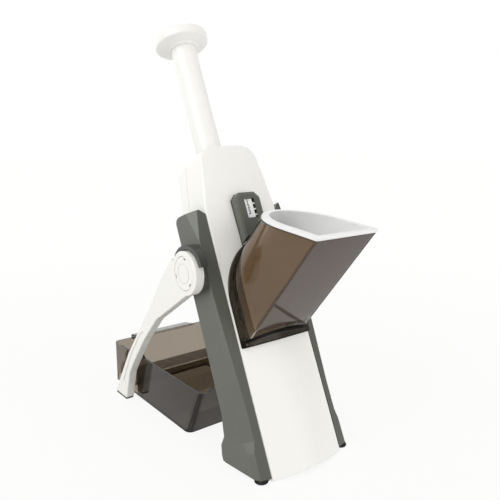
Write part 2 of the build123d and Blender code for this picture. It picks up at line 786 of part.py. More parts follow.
# ---------------------------------------------------------------- blade carriage and blade
with BuildPart() as blade_carriage:
    for side in (-1, 1):
        with BuildSketch(across.offset(sleeve_top - arm_height)):
            with Locations((side * (arm_inner + arm_outer) / 2, (arm_front + arm_rear) / 2)):
                Rectangle(arm_outer - arm_inner, arm_rear - arm_front)
        extrude(amount=arm_height)
    with BuildSketch(across.offset(sleeve_top - yoke_height)):
        with Locations((0, (yoke_front + arm_rear) / 2)):
            Rectangle(2 * arm_outer, arm_rear - yoke_front)
    extrude(amount=yoke_height)
    fillet(
        blade_carriage.edges().filter_by(lambda e: abs(e.tangent_at(0).dot(up)) > 0.99),
        radius=0.8,
    )
    with BuildSketch(across.offset(sleeve_top - arm_height)):
        with Locations(*rod_spots):
            Circle(rod_radius + bore_play)
    extrude(amount=arm_height, mode=Mode.SUBTRACT)
    # spigot inside the tube of the handle
    with BuildSketch(across.offset(sleeve_top)):
        with Locations((0, shaft_depth)):
            Circle(shaft_bore - bore_play)
    extrude(amount=spigot_length)
save(blade_carriage.part, "blade_carriage")

with BuildPart() as slicing_blade:
    with BuildSketch(facing.offset(-blade_front)):
        with BuildLine():
            Polyline(
                (-blade_half, blade_tip), (0, blade_notch), (blade_half, blade_tip),
                (blade_half, blade_top), (-blade_half, blade_top), close=True,
            )
        make_face()
    extrude(amount=-blade_thickness)
save(slicing_blade.part, "slicing_blade")

# ---------------------------------------------------------------- stop plate and dial
with BuildPart() as thickness_plate:
    with BuildSketch(facing.offset(-stop_front)):
        with BuildLine():
            Polyline(
                (-stop_half, stop_low), (stop_half, stop_low),
                (stop_half, stop_high), (-stop_half, stop_high), close=True,
            )
        make_face()
    extrude(amount=-stop_thickness)
    # notch around the strip cutter's upright
    notch_from = selector_x - selector_stem - notch_gap
    notch_top = selector_height + selector_stem + notch_gap
    with BuildSketch(facing.offset(-stop_front)):
        with Locations(((notch_from + stop_half) / 2, (stop_low + notch_top) / 2)):
            Rectangle(stop_half - notch_from, notch_top - stop_low)
    extrude(amount=-stop_thickness, mode=Mode.SUBTRACT)
    with BuildSketch(facing.offset(-stop_front - stop_thickness)):
        with Locations((dial_x, dial_height)):
            Circle(nut_radius)
    extrude(amount=-nut_length)
    with BuildSketch(facing.offset(-screw_end + stop_travel + 2 * seam)):
        with Locations((dial_x, dial_height)):
            Circle(screw_radius + bore_play)
    extrude(amount=-nut_length, mode=Mode.SUBTRACT)
save(thickness_plate.part, "thickness_plate")

with BuildPart() as thickness_dial:
    with BuildSketch(facing.offset(-housing_depth - seam)):
        with Locations((dial_x, dial_height)):
            Circle(dial_radius)
    extrude(amount=-dial_thickness)
    back = thickness_dial.faces().sort_by(Axis(toe, out))[0]
    chamfer(back.edges(), length=0.8)
    with BuildSketch(facing.offset(-housing_depth - seam)):
        with Locations((dial_x, dial_height)):
            with PolarLocations(dial_radius + dial_grip_radius / 2, dial_grips):
                Circle(dial_grip_radius)
    extrude(amount=-dial_thickness, mode=Mode.SUBTRACT)
    # pointer mark
    with BuildSketch(facing.offset(-housing_depth - seam - dial_thickness + 2 * seam)):
        with Locations((dial_x, dial_height + dial_radius * 0.6)):
            Rectangle(1.2, dial_radius * 0.5)
    extrude(amount=-dial_thickness, mode=Mode.SUBTRACT)
    with BuildSketch(facing.offset(-screw_end)):
        with Locations((dial_x, dial_height)):
            Circle(screw_radius)
    extrude(amount=-(housing_depth + 1 - screw_end))
save(thickness_dial.part, "thickness_dial")

# ---------------------------------------------------------------- strip cutter and selector
selector_back = housing_depth + seam
with BuildPart() as selector_knob:
    with BuildSketch(facing.offset(-selector_back - selector_travel)):
        with Locations((selector_x, selector_height)):
            Circle(selector_radius)
    extrude(amount=-selector_head)
    back = selector_knob.faces().sort_by(Axis(toe, out))[0]
    fillet(back.edges(), radius=1.2)
    with BuildSketch(facing.offset(-comb_back - comb_depth - seam)):
        with Locations((selector_x, selector_height)):
            Circle(selector_stem)
    extrude(amount=-(selector_back + selector_travel + 1 - comb_back - comb_depth - seam))
save(selector_knob.part, "selector_knob")

with BuildPart() as comb_carrier:
    with BuildSketch(facing.offset(-comb_back)):
        with Locations((0, (comb_low + comb_high) / 2)):
            Rectangle(2 * comb_half, comb_high - comb_low)
        with Locations((selector_x, (comb_low + selector_height + selector_stem) / 2)):
            Rectangle(2 * selector_stem, selector_height + selector_stem - comb_low)
    extrude(amount=-comb_depth)
save(comb_carrier.part, "comb_carrier")

with BuildPart() as julienne_blades:
    with BuildSketch(beside.offset(-blade_thickness / 2)) as one_blade:
        with BuildLine():
            Polyline(
                (comb_low, -comb_back), (comb_low, -comb_front), (comb_high + 1.5, -comb_front),
                (comb_high, -comb_back), close=True,
            )
        make_face()
    with Locations(
        *[((k - (comb_blades - 1) / 2) * comb_pitch, 0, 0) for k in range(comb_blades)]
    ):
        add(extrude(one_blade.sketch, amount=blade_thickness, mode=Mode.PRIVATE))
save(julienne_blades.part, "julienne_blades")

# ---------------------------------------------------------------- ramp to the container
ramp_start = Vector(0, ramp_from[0] + toe_y, ramp_from[1])
ramp_run = Vector(0, ramp_to[0] - ramp_from[0], ramp_to[1] - ramp_from[1])
ramp_plane = Plane(
    origin=ramp_start, x_dir=(1, 0, 0), z_dir=Vector(1, 0, 0).cross(ramp_run.normalized())
)
with BuildPart() as discharge_ramp:
    with BuildSketch(ramp_plane):
        with Locations((0, ramp_run.length / 2)):
            Rectangle(2 * ramp_half, ramp_run.length)
    extrude(amount=-ramp_thickness)
    # low side walls keep the slices on the ramp
    with BuildSketch(ramp_plane):
        for side in (-1, 1):
            with Locations((side * (ramp_half - ramp_thickness / 2), ramp_run.length / 2)):
                Rectangle(ramp_thickness, ramp_run.length)
    extrude(amount=ramp_lip)
save(discharge_ramp.part, "discharge_ramp")

# ---------------------------------------------------------------- scale above the chute
with BuildPart() as scale_plaque:
    with BuildSketch(facing):
        with BuildLine():
            Polyline(
                (-plaque_half, plaque_low), (plaque_half, plaque_low),
                (plaque_half, plaque_top - plaque_corner),
                (plaque_half - plaque_corner, plaque_top),
                (plaque_corner - plaque_half, plaque_top),
                (-plaque_half, plaque_top - plaque_corner), close=True,
            )
        make_face()
    extrude(amount=plaque_face)
    face = scale_plaque.faces().sort_by(Axis(toe, out))[-1]
    chamfer(
        face.edges().sort_by(Axis(toe, up))[1:],
        length=plaque_bevel_run, length2=plaque_bevel, reference=face,
    )
    # the foot follows the chute's flange as it slides out along the feed
    extrude(
        arch(flange_margin + plaque_gap, flange_foot, plaque_stand),
        amount=2 * bulge_low, dir=feed, mode=Mode.SUBTRACT,
    )
    extrude(
        arch(flange_margin + plaque_gap, flange_foot, plaque_stand),
        amount=-2 * bulge_low, mode=Mode.SUBTRACT,
    )
    add(convex_block(bore_play, spare), mode=Mode.SUBTRACT)
    # window, and the pocket that the slider runs in
    with BuildSketch(facing):
        with Locations(slider_slot):
            Rectangle(window_width, window_high - window_low)
    extrude(amount=2 * plaque_face, mode=Mode.SUBTRACT)
    with BuildSketch(facing):
        with Locations((
            (slider_left + slider_tooth) / 2,
            (slider_low - slider_travel + slider_high) / 2,
        )):
            Rectangle(
                slider_tooth - slider_left + 2 * seam,
                slider_high - slider_low + slider_travel + 2 * seam,
            )
    extrude(amount=slider_front + seam, mode=Mode.SUBTRACT)
save(scale_plaque.part, "scale_plaque")

with BuildPart() as scale_slider:
    with BuildSketch(facing.offset(slider_back)):
        with Locations(((slider_left + slider_right) / 2, (slider_low + slider_high) / 2)):
            Rectangle(slider_right - slider_left, slider_high - slider_low)
        for k in range(slider_ticks):
            tick_height = window_high - slider_first_tick - k * slider_pitch
            with Locations(((slider_right + slider_tooth) / 2, tick_height)):
                Rectangle(slider_tooth - slider_right, slider_tick)
    extrude(amount=slider_front - slider_back)
save(scale_slider.part, "scale_slider")

# ---------------------------------------------------------------- chute and pusher
with BuildPart() as chute:
    extrude(arch(0), amount=tool_reach, dir=feed)
    extrude(arch(0), amount=chute_tail / feed.dot(out), dir=-feed)
    split(bisect_by=rim_plane, keep=Keep.BOTTOM)
    add(on_front(arch(flange_margin, flange_foot), seam, seam + flange_thickness))
    add(on_front(arch(flange_step, flange_foot / 2), seam, seam + 2 * flange_thickness))
    extrude(arch(-chute_wall), amount=2 * tool_reach, dir=feed, mode=Mode.SUBTRACT)
    extrude(arch(-chute_wall), amount=2 * chute_tail, dir=-feed, mode=Mode.SUBTRACT)
save(chute.part, "chute")

pusher_skin = chute_wall + pusher_play
with BuildPart() as pusher:
    extrude(arch(-pusher_skin), amount=2 * tool_reach, dir=feed)
    split(bisect_by=facing.offset(pusher_floor), keep=Keep.TOP)
    split(bisect_by=rim_plane.offset(seam + pusher_lip), keep=Keep.BOTTOM)
    with BuildPart(mode=Mode.PRIVATE) as lip:
        extrude(arch(lip_margin), amount=2 * tool_reach, dir=feed)
        split(bisect_by=rim_plane.offset(seam + pusher_lip), keep=Keep.BOTTOM)
        split(bisect_by=rim_plane.offset(seam), keep=Keep.TOP)
    add(lip.part)
    top = pusher.faces().sort_by(Axis.Z)[-1]
    fillet(top.outer_wire().edges(), radius=0.8)
    with BuildPart(mode=Mode.PRIVATE) as hollow:
        extrude(arch(-pusher_skin - pusher_wall), amount=2 * tool_reach, dir=feed)
        split(bisect_by=facing.offset(pusher_floor + pusher_wall), keep=Keep.TOP)
    add(hollow.part, mode=Mode.SUBTRACT)
save(pusher.part, "pusher")

pin_middle = (mouth_low + mouth_top) / 2 + pin_rise
with BuildPart() as pusher_pins:
    with BuildSketch(facing.offset(pusher_floor - bore_play)):
        with Locations((0, pin_middle)):
            with GridLocations(pin_pitch, pin_pitch, 4, 4):
                Circle(grip_pin_radius)
    extrude(amount=-grip_pin_height, taper=10)
save(pusher_pins.part, "pusher_pins")

# ---------------------------------------------------------------- container
front_slope = (tray_front_low - tray_front_rim) / (tray_rim - tray_floor_gap)


def tray_front(z):
    """Distance of the container's front wall from the toes at the height z."""
    return tray_front_low - front_slope * (z - tray_floor_gap)


def tray_profile(inset, floor, rim_front, rim_rear):
    """Side view of the container, its walls moved in by inset, from its floor to its rim."""
    with BuildSketch(ground) as profile:
        with BuildLine():
            Polyline(
                (tray_front(floor) + inset, floor), (tray_front(rim_front) + inset, rim_front),
                (tray_waist, rim_front), (wing_rim_y, rim_rear),
                (tray_rear - inset, rim_rear), (tray_rear - inset, floor), close=True,
            )
        make_face()
    return profile.sketch


def wing_profile(inset, rim_rear):
    """Side view of the wide rear part, behind a slanted edge that clears the legs."""
    slant = tan(radians(wing_slant))
    start = wing_rim_y + inset / cos(radians(wing_slant))
    low = tray_rear_rim - (tray_rear - inset - start) / slant
    with BuildSketch(ground) as profile:
        with BuildLine():
            Polyline(
                (start - (rim_rear - tray_rear_rim) * slant, rim_rear),
                (tray_rear - inset, rim_rear), (tray_rear - inset, low), close=True,
            )
        make_face()
    return profile.sketch


def dock_profile(inset, rise):
    """Front view of the raised middle of the front wall."""
    half = tray_dock_half - inset
    with BuildSketch(Plane(origin=(0, toe_y + tray_front_rim - spare, 0), x_dir=(1, 0, 0),
                           z_dir=(0, -1, 0))) as profile:
        with BuildLine():
            Polyline(
                (-half - tray_dock_slant, tray_rim - 2 * tray_dock_rise),
                (half + tray_dock_slant, tray_rim - 2 * tray_dock_rise),
                (half + tray_dock_slant, tray_rim), (half, tray_rim + rise),
                (-half, tray_rim + rise), (-half - tray_dock_slant, tray_rim), close=True,
            )
        make_face()
    return profile.sketch


with BuildPart() as tray_body:
    extrude(tray_profile(0, tray_floor_gap, tray_rim, tray_rear_rim), amount=tray_half, both=True)
    upright = tray_body.edges().filter_by(
        lambda edge: abs(edge.tangent_at(0).X) < 0.1 and abs(edge.tangent_at(0).Z) > 0.8
        and edge.center().Y < toe_y + tray_front_low
    )
    fillet(upright, radius=tray_corner)
    extrude(wing_profile(0, tray_rear_rim), amount=tray_wing_half, both=True)
    rear_upright = tray_body.edges().filter_by(Axis.Z).filter_by(
        lambda edge: edge.center().Y > toe_y + tray_rear - 1 and abs(edge.center().X) > tray_half + 1
    )
    fillet(rear_upright, radius=tray_corner)

with BuildPart() as tray_hollow:
    top = tray_rear_rim + spare
    extrude(
        tray_profile(tray_wall, tray_floor_gap + tray_wall, top, top),
        amount=tray_half - tray_wall, both=True,
    )
    extrude(wing_profile(tray_wall, top), amount=tray_wing_half - tray_wall, both=True)
    # the shelf at the rear lifts the floor
    with BuildSketch(ground) as shelf:
        with BuildLine():
            Polyline(
                (tray_shelf_start, 0), (tray_rear, 0), (tray_rear, tray_shelf),
                (tray_shelf_start, tray_shelf), close=True,
            )
        make_face()
    extrude(shelf.sketch, amount=tray_wing_half, both=True, mode=Mode.SUBTRACT)

with BuildPart() as container:
    add(tray_body.part)
    with BuildPart(mode=Mode.PRIVATE) as dock:
        extrude(dock_profile(0, tray_dock_rise), amount=-tray_dock_rise * 4)
        with BuildSketch(ground) as dock_side:
            with BuildLine():
                high = tray_rim + 2 * tray_dock_rise
                low = tray_rim - 2 * tray_dock_rise
                Polyline(
                    (tray_front(low), low), (tray_front(high), high),
                    (tray_front(high) + tray_wall, high), (tray_front(low) + tray_wall, low),
                    close=True,
                )
            make_face()
        extrude(dock_side.sketch, amount=tray_half, both=True, mode=Mode.INTERSECT)
    add(dock.part)
    add(tray_hollow.part, mode=Mode.SUBTRACT)
    # hollow under the shelf
    with BuildSketch(ground) as under_shelf:
        with BuildLine():
            Polyline(
                (tray_shelf_start + tray_shelf_wall, 0), (tray_rear - tray_wall, 0),
                (tray_rear - tray_wall, tray_shelf - tray_shelf_wall),
                (tray_shelf_start + tray_shelf_wall, tray_shelf - tray_shelf_wall), close=True,
            )
        make_face()
    extrude(under_shelf.sketch, amount=tray_half - tray_wall, both=True, mode=Mode.SUBTRACT)
    # grip along the rear rim
    with BuildSketch(ground) as grip:
        with BuildLine():
            Polyline(
                (tray_rear - tray_wall, tray_rear_rim - tray_wall), (tray_rear - tray_wall, tray_rear_rim),
                (grip_rear, tray_rear_rim + grip_rise), (grip_rear, tray_rear_rim + grip_rise - grip_skirt),
                (grip_rear - tray_wall, tray_rear_rim + grip_rise - grip_skirt),
                (grip_rear - tray_wall, tray_rear_rim + grip_rise - tray_wall - 0.4), close=True,
            )
        make_face()
    extrude(grip.sketch, amount=grip_half, both=True)
save(container.part, "container")

# ---------------------------------------------------------------- screws
with BuildPart() as housing_screws:
    for x, height in housing_screw_spots:
        for side in (-1, 1):
            with BuildSketch(facing.offset(-(housing_depth - screw_head_height))):
                with Locations((side * x, height)):
                    Circle(screw_head)
            extrude(amount=-(screw_head_height - seam))
            with BuildSketch(facing.offset(-(housing_depth - screw_head_height))):
                with Locations((side * x, height)):
                    Circle(screw_core)
            extrude(amount=housing_depth - screw_head_height - shaft_depth + screw_bite - 1)
save(housing_screws.part, "housing_screws")

with BuildPart() as rail_screws:
    for side in (-1, 1):
        for height, depth in rail_screw_spots:
            with BuildSketch(beside.offset(side * (housing_half - wall - screw_head_height))):
                with Locations((height, -depth)):
                    Circle(screw_head)
            extrude(amount=side * (screw_head_height - bore_play))
            with BuildSketch(beside.offset(side * (housing_half - wall - screw_head_height / 2))):
                with Locations((height, -depth)):
                    Circle(screw_core)
            extrude(amount=side * (screw_head_height / 2 + wall + screw_bite / 2 - 1))
save(rail_screws.part, "rail_screws")

with BuildPart() as blade_screws:
    for side in (-1, 1):
        with BuildSketch(facing.offset(-blade_front)):
            with Locations((side * (arm_inner + arm_outer) / 2, blade_top - blade_screw_inset)):
                Circle(blade_screw_head)
        extrude(amount=seam / 2)
save(blade_screws.part, "blade_screws")
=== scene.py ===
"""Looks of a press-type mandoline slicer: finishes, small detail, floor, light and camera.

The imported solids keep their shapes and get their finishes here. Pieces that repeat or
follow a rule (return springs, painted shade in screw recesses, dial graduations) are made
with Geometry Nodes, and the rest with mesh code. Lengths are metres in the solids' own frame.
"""

from __future__ import annotations

import logging
import math
from dataclasses import dataclass, field
from enum import Enum
from typing import Sequence

import bmesh
import bpy
from mathutils import Matrix, Vector


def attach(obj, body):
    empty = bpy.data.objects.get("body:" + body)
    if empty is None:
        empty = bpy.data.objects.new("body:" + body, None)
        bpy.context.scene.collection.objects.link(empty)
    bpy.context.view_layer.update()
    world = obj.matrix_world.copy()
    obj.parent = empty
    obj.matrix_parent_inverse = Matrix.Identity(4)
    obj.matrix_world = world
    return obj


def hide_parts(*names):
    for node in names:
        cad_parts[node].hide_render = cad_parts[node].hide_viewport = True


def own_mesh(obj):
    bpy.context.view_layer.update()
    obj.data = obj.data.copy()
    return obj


Pair = tuple[float, float]
Triple = tuple[float, float, float]
Socket = bpy.types.NodeSocket

MM = 0.001
HOUSING_BACK = 43.0  # millimetres behind the front plane
log = logging.getLogger("slicer")

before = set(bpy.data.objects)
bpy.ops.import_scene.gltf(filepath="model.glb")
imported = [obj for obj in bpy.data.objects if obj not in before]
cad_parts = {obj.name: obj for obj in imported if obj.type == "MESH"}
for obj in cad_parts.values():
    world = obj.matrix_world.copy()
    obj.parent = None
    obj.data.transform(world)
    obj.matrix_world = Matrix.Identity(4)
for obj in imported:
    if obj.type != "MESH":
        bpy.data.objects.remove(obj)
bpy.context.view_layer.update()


# -------- frame of the housing
@dataclass(frozen=True)
class Lean:
    """Frame of the leaning housing: across, up the lean, and back from its front plane."""

    angle: float = math.radians(24.0)
    toe: Vector = field(default_factory=lambda: Vector((0.0, -105.4, 3.0)) * MM)

    @property
    def up(self) -> Vector:
        """Direction up the lean."""
        return Vector((0.0, math.sin(self.angle), math.cos(self.angle)))

    @property
    def out(self) -> Vector:
        """Direction that the front plane faces."""
        return Vector((0.0, -math.cos(self.angle), math.sin(self.angle)))

    def at(self, x: float, height: float, depth: float) -> Vector:
        """Point of the housing.

        Args:
            x: Distance to the right of the middle, in millimetres.
            height: Distance up the lean from the toes, in millimetres.
            depth: Distance behind the front plane, in millimetres.

        Returns:
            The point in metres.
        """
        return self.toe + (Vector((x, 0, 0)) + self.up * height - self.out * depth) * MM

    def basis(self, origin: Vector, facing_back: bool = False) -> Matrix:
        """Matrix that lays a drawing on the housing.

        Args:
            origin: Where the drawing's origin goes.
            facing_back: Lays it on the back, so that it reads from behind.

        Returns:
            A matrix whose X runs across, Y up the lean and Z off the surface.
        """
        side = -1.0 if facing_back else 1.0
        x_dir, z_dir = Vector((side, 0, 0)), self.out * side
        turned = Matrix((x_dir, self.up, z_dir)).transposed()
        return Matrix.Translation(origin) @ turned.to_4x4()


LEAN = Lean()


@dataclass(frozen=True)
class FrontPanel:
    """The convex front of the housing."""

    half: float = 38.5
    low: float = 9.0
    high: float = 4.5
    top: float = 281.0

    def bulge(self, height: float) -> float:
        """How far its middle stands out at a height, in millimetres."""
        return self.low + (self.high - self.low) * height / self.top

    def out(self, x: float, height: float) -> float:
        """How far its surface stands out at a place, in millimetres."""
        return self.bulge(height) * (1.0 - (x / self.half) ** 2)


PANEL = FrontPanel()


# -------- node tools
class Wiring:
    """Adds nodes to a tree and joins them."""

    def __init__(self, tree: bpy.types.NodeTree) -> None:
        """Takes the tree that the nodes go in."""
        self.tree = tree

    def add(self, kind: str, feeds: dict | None = None, **settings: object) -> bpy.types.Node:
        """Adds a node.

        Args:
            kind: The node's type.
            feeds: Values or sockets for its inputs, by name or number.
            **settings: Its properties.

        Returns:
            The node.
        """
        node = self.tree.nodes.new(kind)
        for name, value in settings.items():
            setattr(node, name, value)
        self.feed(node, feeds or {})
        return node

    def join(self, source: Socket, target: Socket) -> None:
        """Joins an output to an input."""
        self.tree.links.new(source, target)

    def feed(self, node: bpy.types.Node, feeds: dict) -> None:
        """Joins or sets a node's inputs.

        Args:
            node: The node.
            feeds: Sockets or values for its inputs, by name or number. Colours are opaque.
        """
        for key, value in feeds.items():
            target = node.inputs[key]
            if isinstance(value, Socket):
                self.join(value, target)
            else:
                target.default_value = (*value, 1.0) if target.type == "RGBA" else value

    def where(self, kind: str = "Object") -> Socket:
        """Adds a Texture Coordinate node and returns its socket of this kind."""
        return self.add("ShaderNodeTexCoord").outputs[kind]

    def apart(self, vector: object) -> bpy.types.NodeOutputs:
        """Splits a vector and returns its X, Y and Z sockets."""
        return self.add("ShaderNodeSeparateXYZ", {0: vector}).outputs

    def vector(self, x: object = 0.0, y: object = 0.0, z: object = 0.0) -> Socket:
        """Puts three values or sockets together as a vector."""
        return self.add("ShaderNodeCombineXYZ", {"X": x, "Y": y, "Z": z}).outputs[0]

    def math(self, operation: str, a: object, b: object = 0.0, clamp: bool = False) -> Socket:
        """Adds a Math node.

        Args:
            operation: The operation's name.
            a: First value or socket.
            b: Second value or socket.
            clamp: Keeps the result between 0 and 1.

        Returns:
            The result's socket.
        """
        node = self.add("ShaderNodeMath", {0: a, 1: b}, operation=operation, use_clamp=clamp)
        return node.outputs[0]

    def total(self, start: object, *shares: tuple) -> Socket:
        """Adds up shares of values.

        Args:
            start: First value or socket.
            *shares: Each further socket with its share.

        Returns:
            The sum's socket, kept between 0 and 1.
        """
        for k, (value, share) in enumerate(shares, 1):
            start = self.math("ADD", start, self.math("MULTIPLY", value, share), k == len(shares))
        return start

    def blend(self, factor: object, a: object, b: object) -> Socket:
        """Adds a colour mix.

        Args:
            factor: Share of b, a value or socket.
            a: Colour or socket.
            b: Colour or socket.

        Returns:
            The mixed colour's socket.
        """
        return self.add("ShaderNodeMix", {0: factor, 6: a, 7: b}, data_type="RGBA").outputs[2]

    def spread(self, value: object, low: float, high: float, to_low: float, to_high: float) -> Socket:
        """Adds a clamped Map Range node.

        Args:
            value: Socket to map.
            low: Start of its range.
            high: End of its range.
            to_low: Start of the result's range.
            to_high: End of the result's range.

        Returns:
            The mapped value's socket.
        """
        feeds = dict(enumerate((value, low, high, to_low, to_high)))
        return self.add("ShaderNodeMapRange", feeds, clamp=True).outputs[0]

    def noise(self, where: object, scale: object, detail: float = 2.0, rough: float = 0.5) -> Socket:
        """Adds a Noise Texture.

        Args:
            where: Coordinates' socket.
            scale: Scale, a value or socket.
            detail: Number of octaves.
            rough: How strong the finer octaves are.

        Returns:
            The noise value's socket.
        """
        feeds = {"Vector": where, "Scale": scale, "Detail": detail, "Roughness": rough}
        return self.add("ShaderNodeTexNoise", feeds).outputs[0]


SOCKET_KINDS = {float: "NodeSocketFloat", int: "NodeSocketInt", tuple: "NodeSocketVector"}


def new_group(name: str, kind: str, inputs: dict[str, object], outputs: dict[str, str]) -> bpy.types.NodeTree:
    """Makes an empty node group with named sockets.

    Args:
        name: The group's name.
        kind: Its tree type.
        inputs: Default of each input, or the socket type of one that has no default.
        outputs: Socket type of each output.

    Returns:
        The group.
    """
    tree = bpy.data.node_groups.new(name, kind)
    for label, value in inputs.items():
        bare = isinstance(value, str)
        socket = value if bare else SOCKET_KINDS[type(value)]
        made = tree.interface.new_socket(name=label, in_out="INPUT", socket_type=socket)
        if not bare:
            made.default_value = value
    for label, socket in outputs.items():
        tree.interface.new_socket(name=label, in_out="OUTPUT", socket_type=socket)
    return tree


def cleared(owner: bpy.types.Material | bpy.types.World) -> Wiring:
    """Empties the node tree of a material or world and returns its wiring."""
    owner.use_nodes = True
    owner.node_tree.nodes.clear()
    return Wiring(owner.node_tree)


# -------- shared surface effects
class SurfaceEffects:
    """Shader node groups that several finishes share."""

    def __init__(self) -> None:
        """Builds each group once."""
        self.skin = self._moulded_skin()
        self.handling = self._handling()

    @staticmethod
    def _moulded_skin() -> bpy.types.NodeTree:
        """Builds the skin of a moulded plastic: a fine grain on a faint long wave."""
        group = new_group(
            "moulded_skin", "ShaderNodeTree",
            {"Grain": 1800.0, "Wave": 55.0, "Grain Share": 0.3},
            dict.fromkeys(("Height", "Tone"), "NodeSocketFloat"),
        )
        w = Wiring(group)
        given, result = w.add("NodeGroupInput").outputs, w.add("NodeGroupOutput")
        where = w.where()
        grain = w.noise(where, given["Grain"], 2.0, 0.6)
        wave = w.noise(where, given["Wave"], 1.0, 0.4)
        fine = w.math("MULTIPLY", grain, given["Grain Share"])
        coarse = w.math("MULTIPLY", wave, w.math("SUBTRACT", 1.0, given["Grain Share"]))
        w.join(w.math("ADD", fine, coarse), result.inputs["Height"])
        cloud = w.noise(where, 14.0, 3.0, 0.55)
        w.join(w.spread(cloud, 0.3, 0.7, 0.0, 1.0), result.inputs["Tone"])
        return group

    @staticmethod
    def _handling() -> bpy.types.NodeTree:
        """Builds the marks of handling: faint smudges and hair scratches."""
        group = new_group(
            "handling", "ShaderNodeTree",
            {"Smudge Size": 24.0, "Scratch Size": 160.0},
            dict.fromkeys(("Smudge", "Scratch"), "NodeSocketFloat"),
        )
        w = Wiring(group)
        given, result = w.add("NodeGroupInput").outputs, w.add("NodeGroupOutput")
        where = w.where()
        smudge = w.noise(where, given["Smudge Size"], 4.0, 0.6)
        w.join(w.spread(smudge, 0.48, 0.68, 0.0, 1.0), result.inputs["Smudge"])
        stretch = w.add("ShaderNodeMapping", {
            "Vector": where, "Rotation": (0.5, 0.3, 0.9), "Scale": (1.0, 0.06, 0.12),
        })
        scratch = w.noise(stretch.outputs[0], given["Scratch Size"], 5.0, 0.75)
        w.join(w.spread(scratch, 0.62, 0.7, 0.0, 1.0), result.inputs["Scratch"])
        return group


# -------- finishes
@dataclass(frozen=True)
class Recipe:
    """What a finish's material is made from."""

    name: str

    def make(self, effects: SurfaceEffects) -> bpy.types.Material:
        """Builds the material.

        Args:
            effects: The shared shader groups.

        Returns:
            The material.
        """
        material = bpy.data.materials.new(self.name)
        w = cleared(material)
        marks = w.add("ShaderNodeGroup", node_tree=effects.handling).outputs
        ending = w.add("ShaderNodeOutputMaterial")
        w.join(self.surface(w, effects, marks), ending.inputs["Surface"])
        return material

    def surface(self, w: Wiring, effects: SurfaceEffects, marks: bpy.types.NodeOutputs) -> Socket:
        """Wires its surface.

        Args:
            w: The material's wiring.
            effects: The shared shader groups.
            marks: The smudges and scratches of handling.

        Returns:
            The surface's socket.
        """
        raise NotImplementedError


@dataclass(frozen=True)
class Plastic(Recipe):
    """An opaque moulded plastic.

    Handling marks raise the roughness by wear. Surfaces nearer to the middle plane than pit
    millimetres, the floors of recesses, get painted shade, and those further out than lap, the collar over
    each hub, get painted shade too.
    """

    colour: Triple
    shade: Triple
    roughness: float = 0.3
    grain: float = 1800.0
    grain_share: float = 0.3
    depth: float = 0.00004
    edge: float = 0.0004
    specular: float = 0.5
    wear: float = 0.06
    pit: float | None = None
    lap: float | None = None
    # painted shade for the floors of recesses and for the collar
    pit_shade: Triple = (0.035, 0.036, 0.034)
    lap_shade: Triple = (0.034, 0.037, 0.028)

    def surface(self, w: Wiring, effects: SurfaceEffects, marks: bpy.types.NodeOutputs) -> Socket:
        """Wires its surface."""
        skin = w.add("ShaderNodeGroup", {"Grain": self.grain, "Grain Share": self.grain_share},
                     node_tree=effects.skin)
        tone = w.blend(skin.outputs["Tone"], self.colour, self.shade)
        # painted shade: recess floors and the collar get a darker colour
        for test, bound, shade in (("LESS_THAN", self.pit, self.pit_shade),
                                   ("GREATER_THAN", self.lap, self.lap_shade)):
            if bound is not None:
                aside = w.math("ABSOLUTE", w.apart(w.where())["X"])
                tone = w.blend(w.math(test, aside, bound * MM), tone, shade)
        bump = w.add("ShaderNodeBump", {"Distance": self.depth, "Height": skin.outputs["Height"]})
        if self.edge > 0:
            rounded = w.add("ShaderNodeBevel", {"Radius": self.edge}, samples=4)
            w.join(rounded.outputs[0], bump.inputs["Normal"])
        return w.add("ShaderNodeBsdfPrincipled", {
            "Base Color": tone,
            "Roughness": w.total(self.roughness, (marks["Smudge"], self.wear),
                                 (marks["Scratch"], 1.5 * self.wear)),
            "Specular IOR Level": self.specular,
            "Normal": bump.outputs[0],
        }).outputs[0]


class Veil(Enum):
    """Where a smoke moulding is tinted darker than its plain walls, partly for denser resin and partly as
    painted shade.
    """

    FLANGE = "flange"
    FLOOR = "floor"


class ChuteZones:
    """Where the chute's tint changes, by its facing and by painted light and shade, in millimetres, with the
    share of each change.
    """

    rim: Pair = (3.1, 3.7)        # off the panel: end of the flange's plate
    thin: Pair = (11.0, 22.0)     # off the front plane: where the walls get painted light
    thin_share: float = 0.4
    foot: Pair = (108.0, 114.0)   # up the lean: the flange's foot
    foot_share: float = 0.7
    front: Triple = (0.0, -0.78, -0.63)  # way that the front wall faces
    facing: Pair = (0.7, 0.9)


class TrayZones:
    """Where the container's tint changes, by denser resin and painted shade, in millimetres, with the share
    of each change.
    """

    half: float = 49.6                           # inside the side walls
    shelf: Pair = (24.6, 26.0)    # above the raised shelf
    floor: Pair = (2.7, 3.2)      # above the floor
    rear: float = 121.5                          # ahead of the rear wall
    ahead: Pair = (84.0, 98.0)    # ahead of the shelf
    grip: Pair = (125.2, 126.4)   # behind the rear wall
    grip_share: float = 0.85


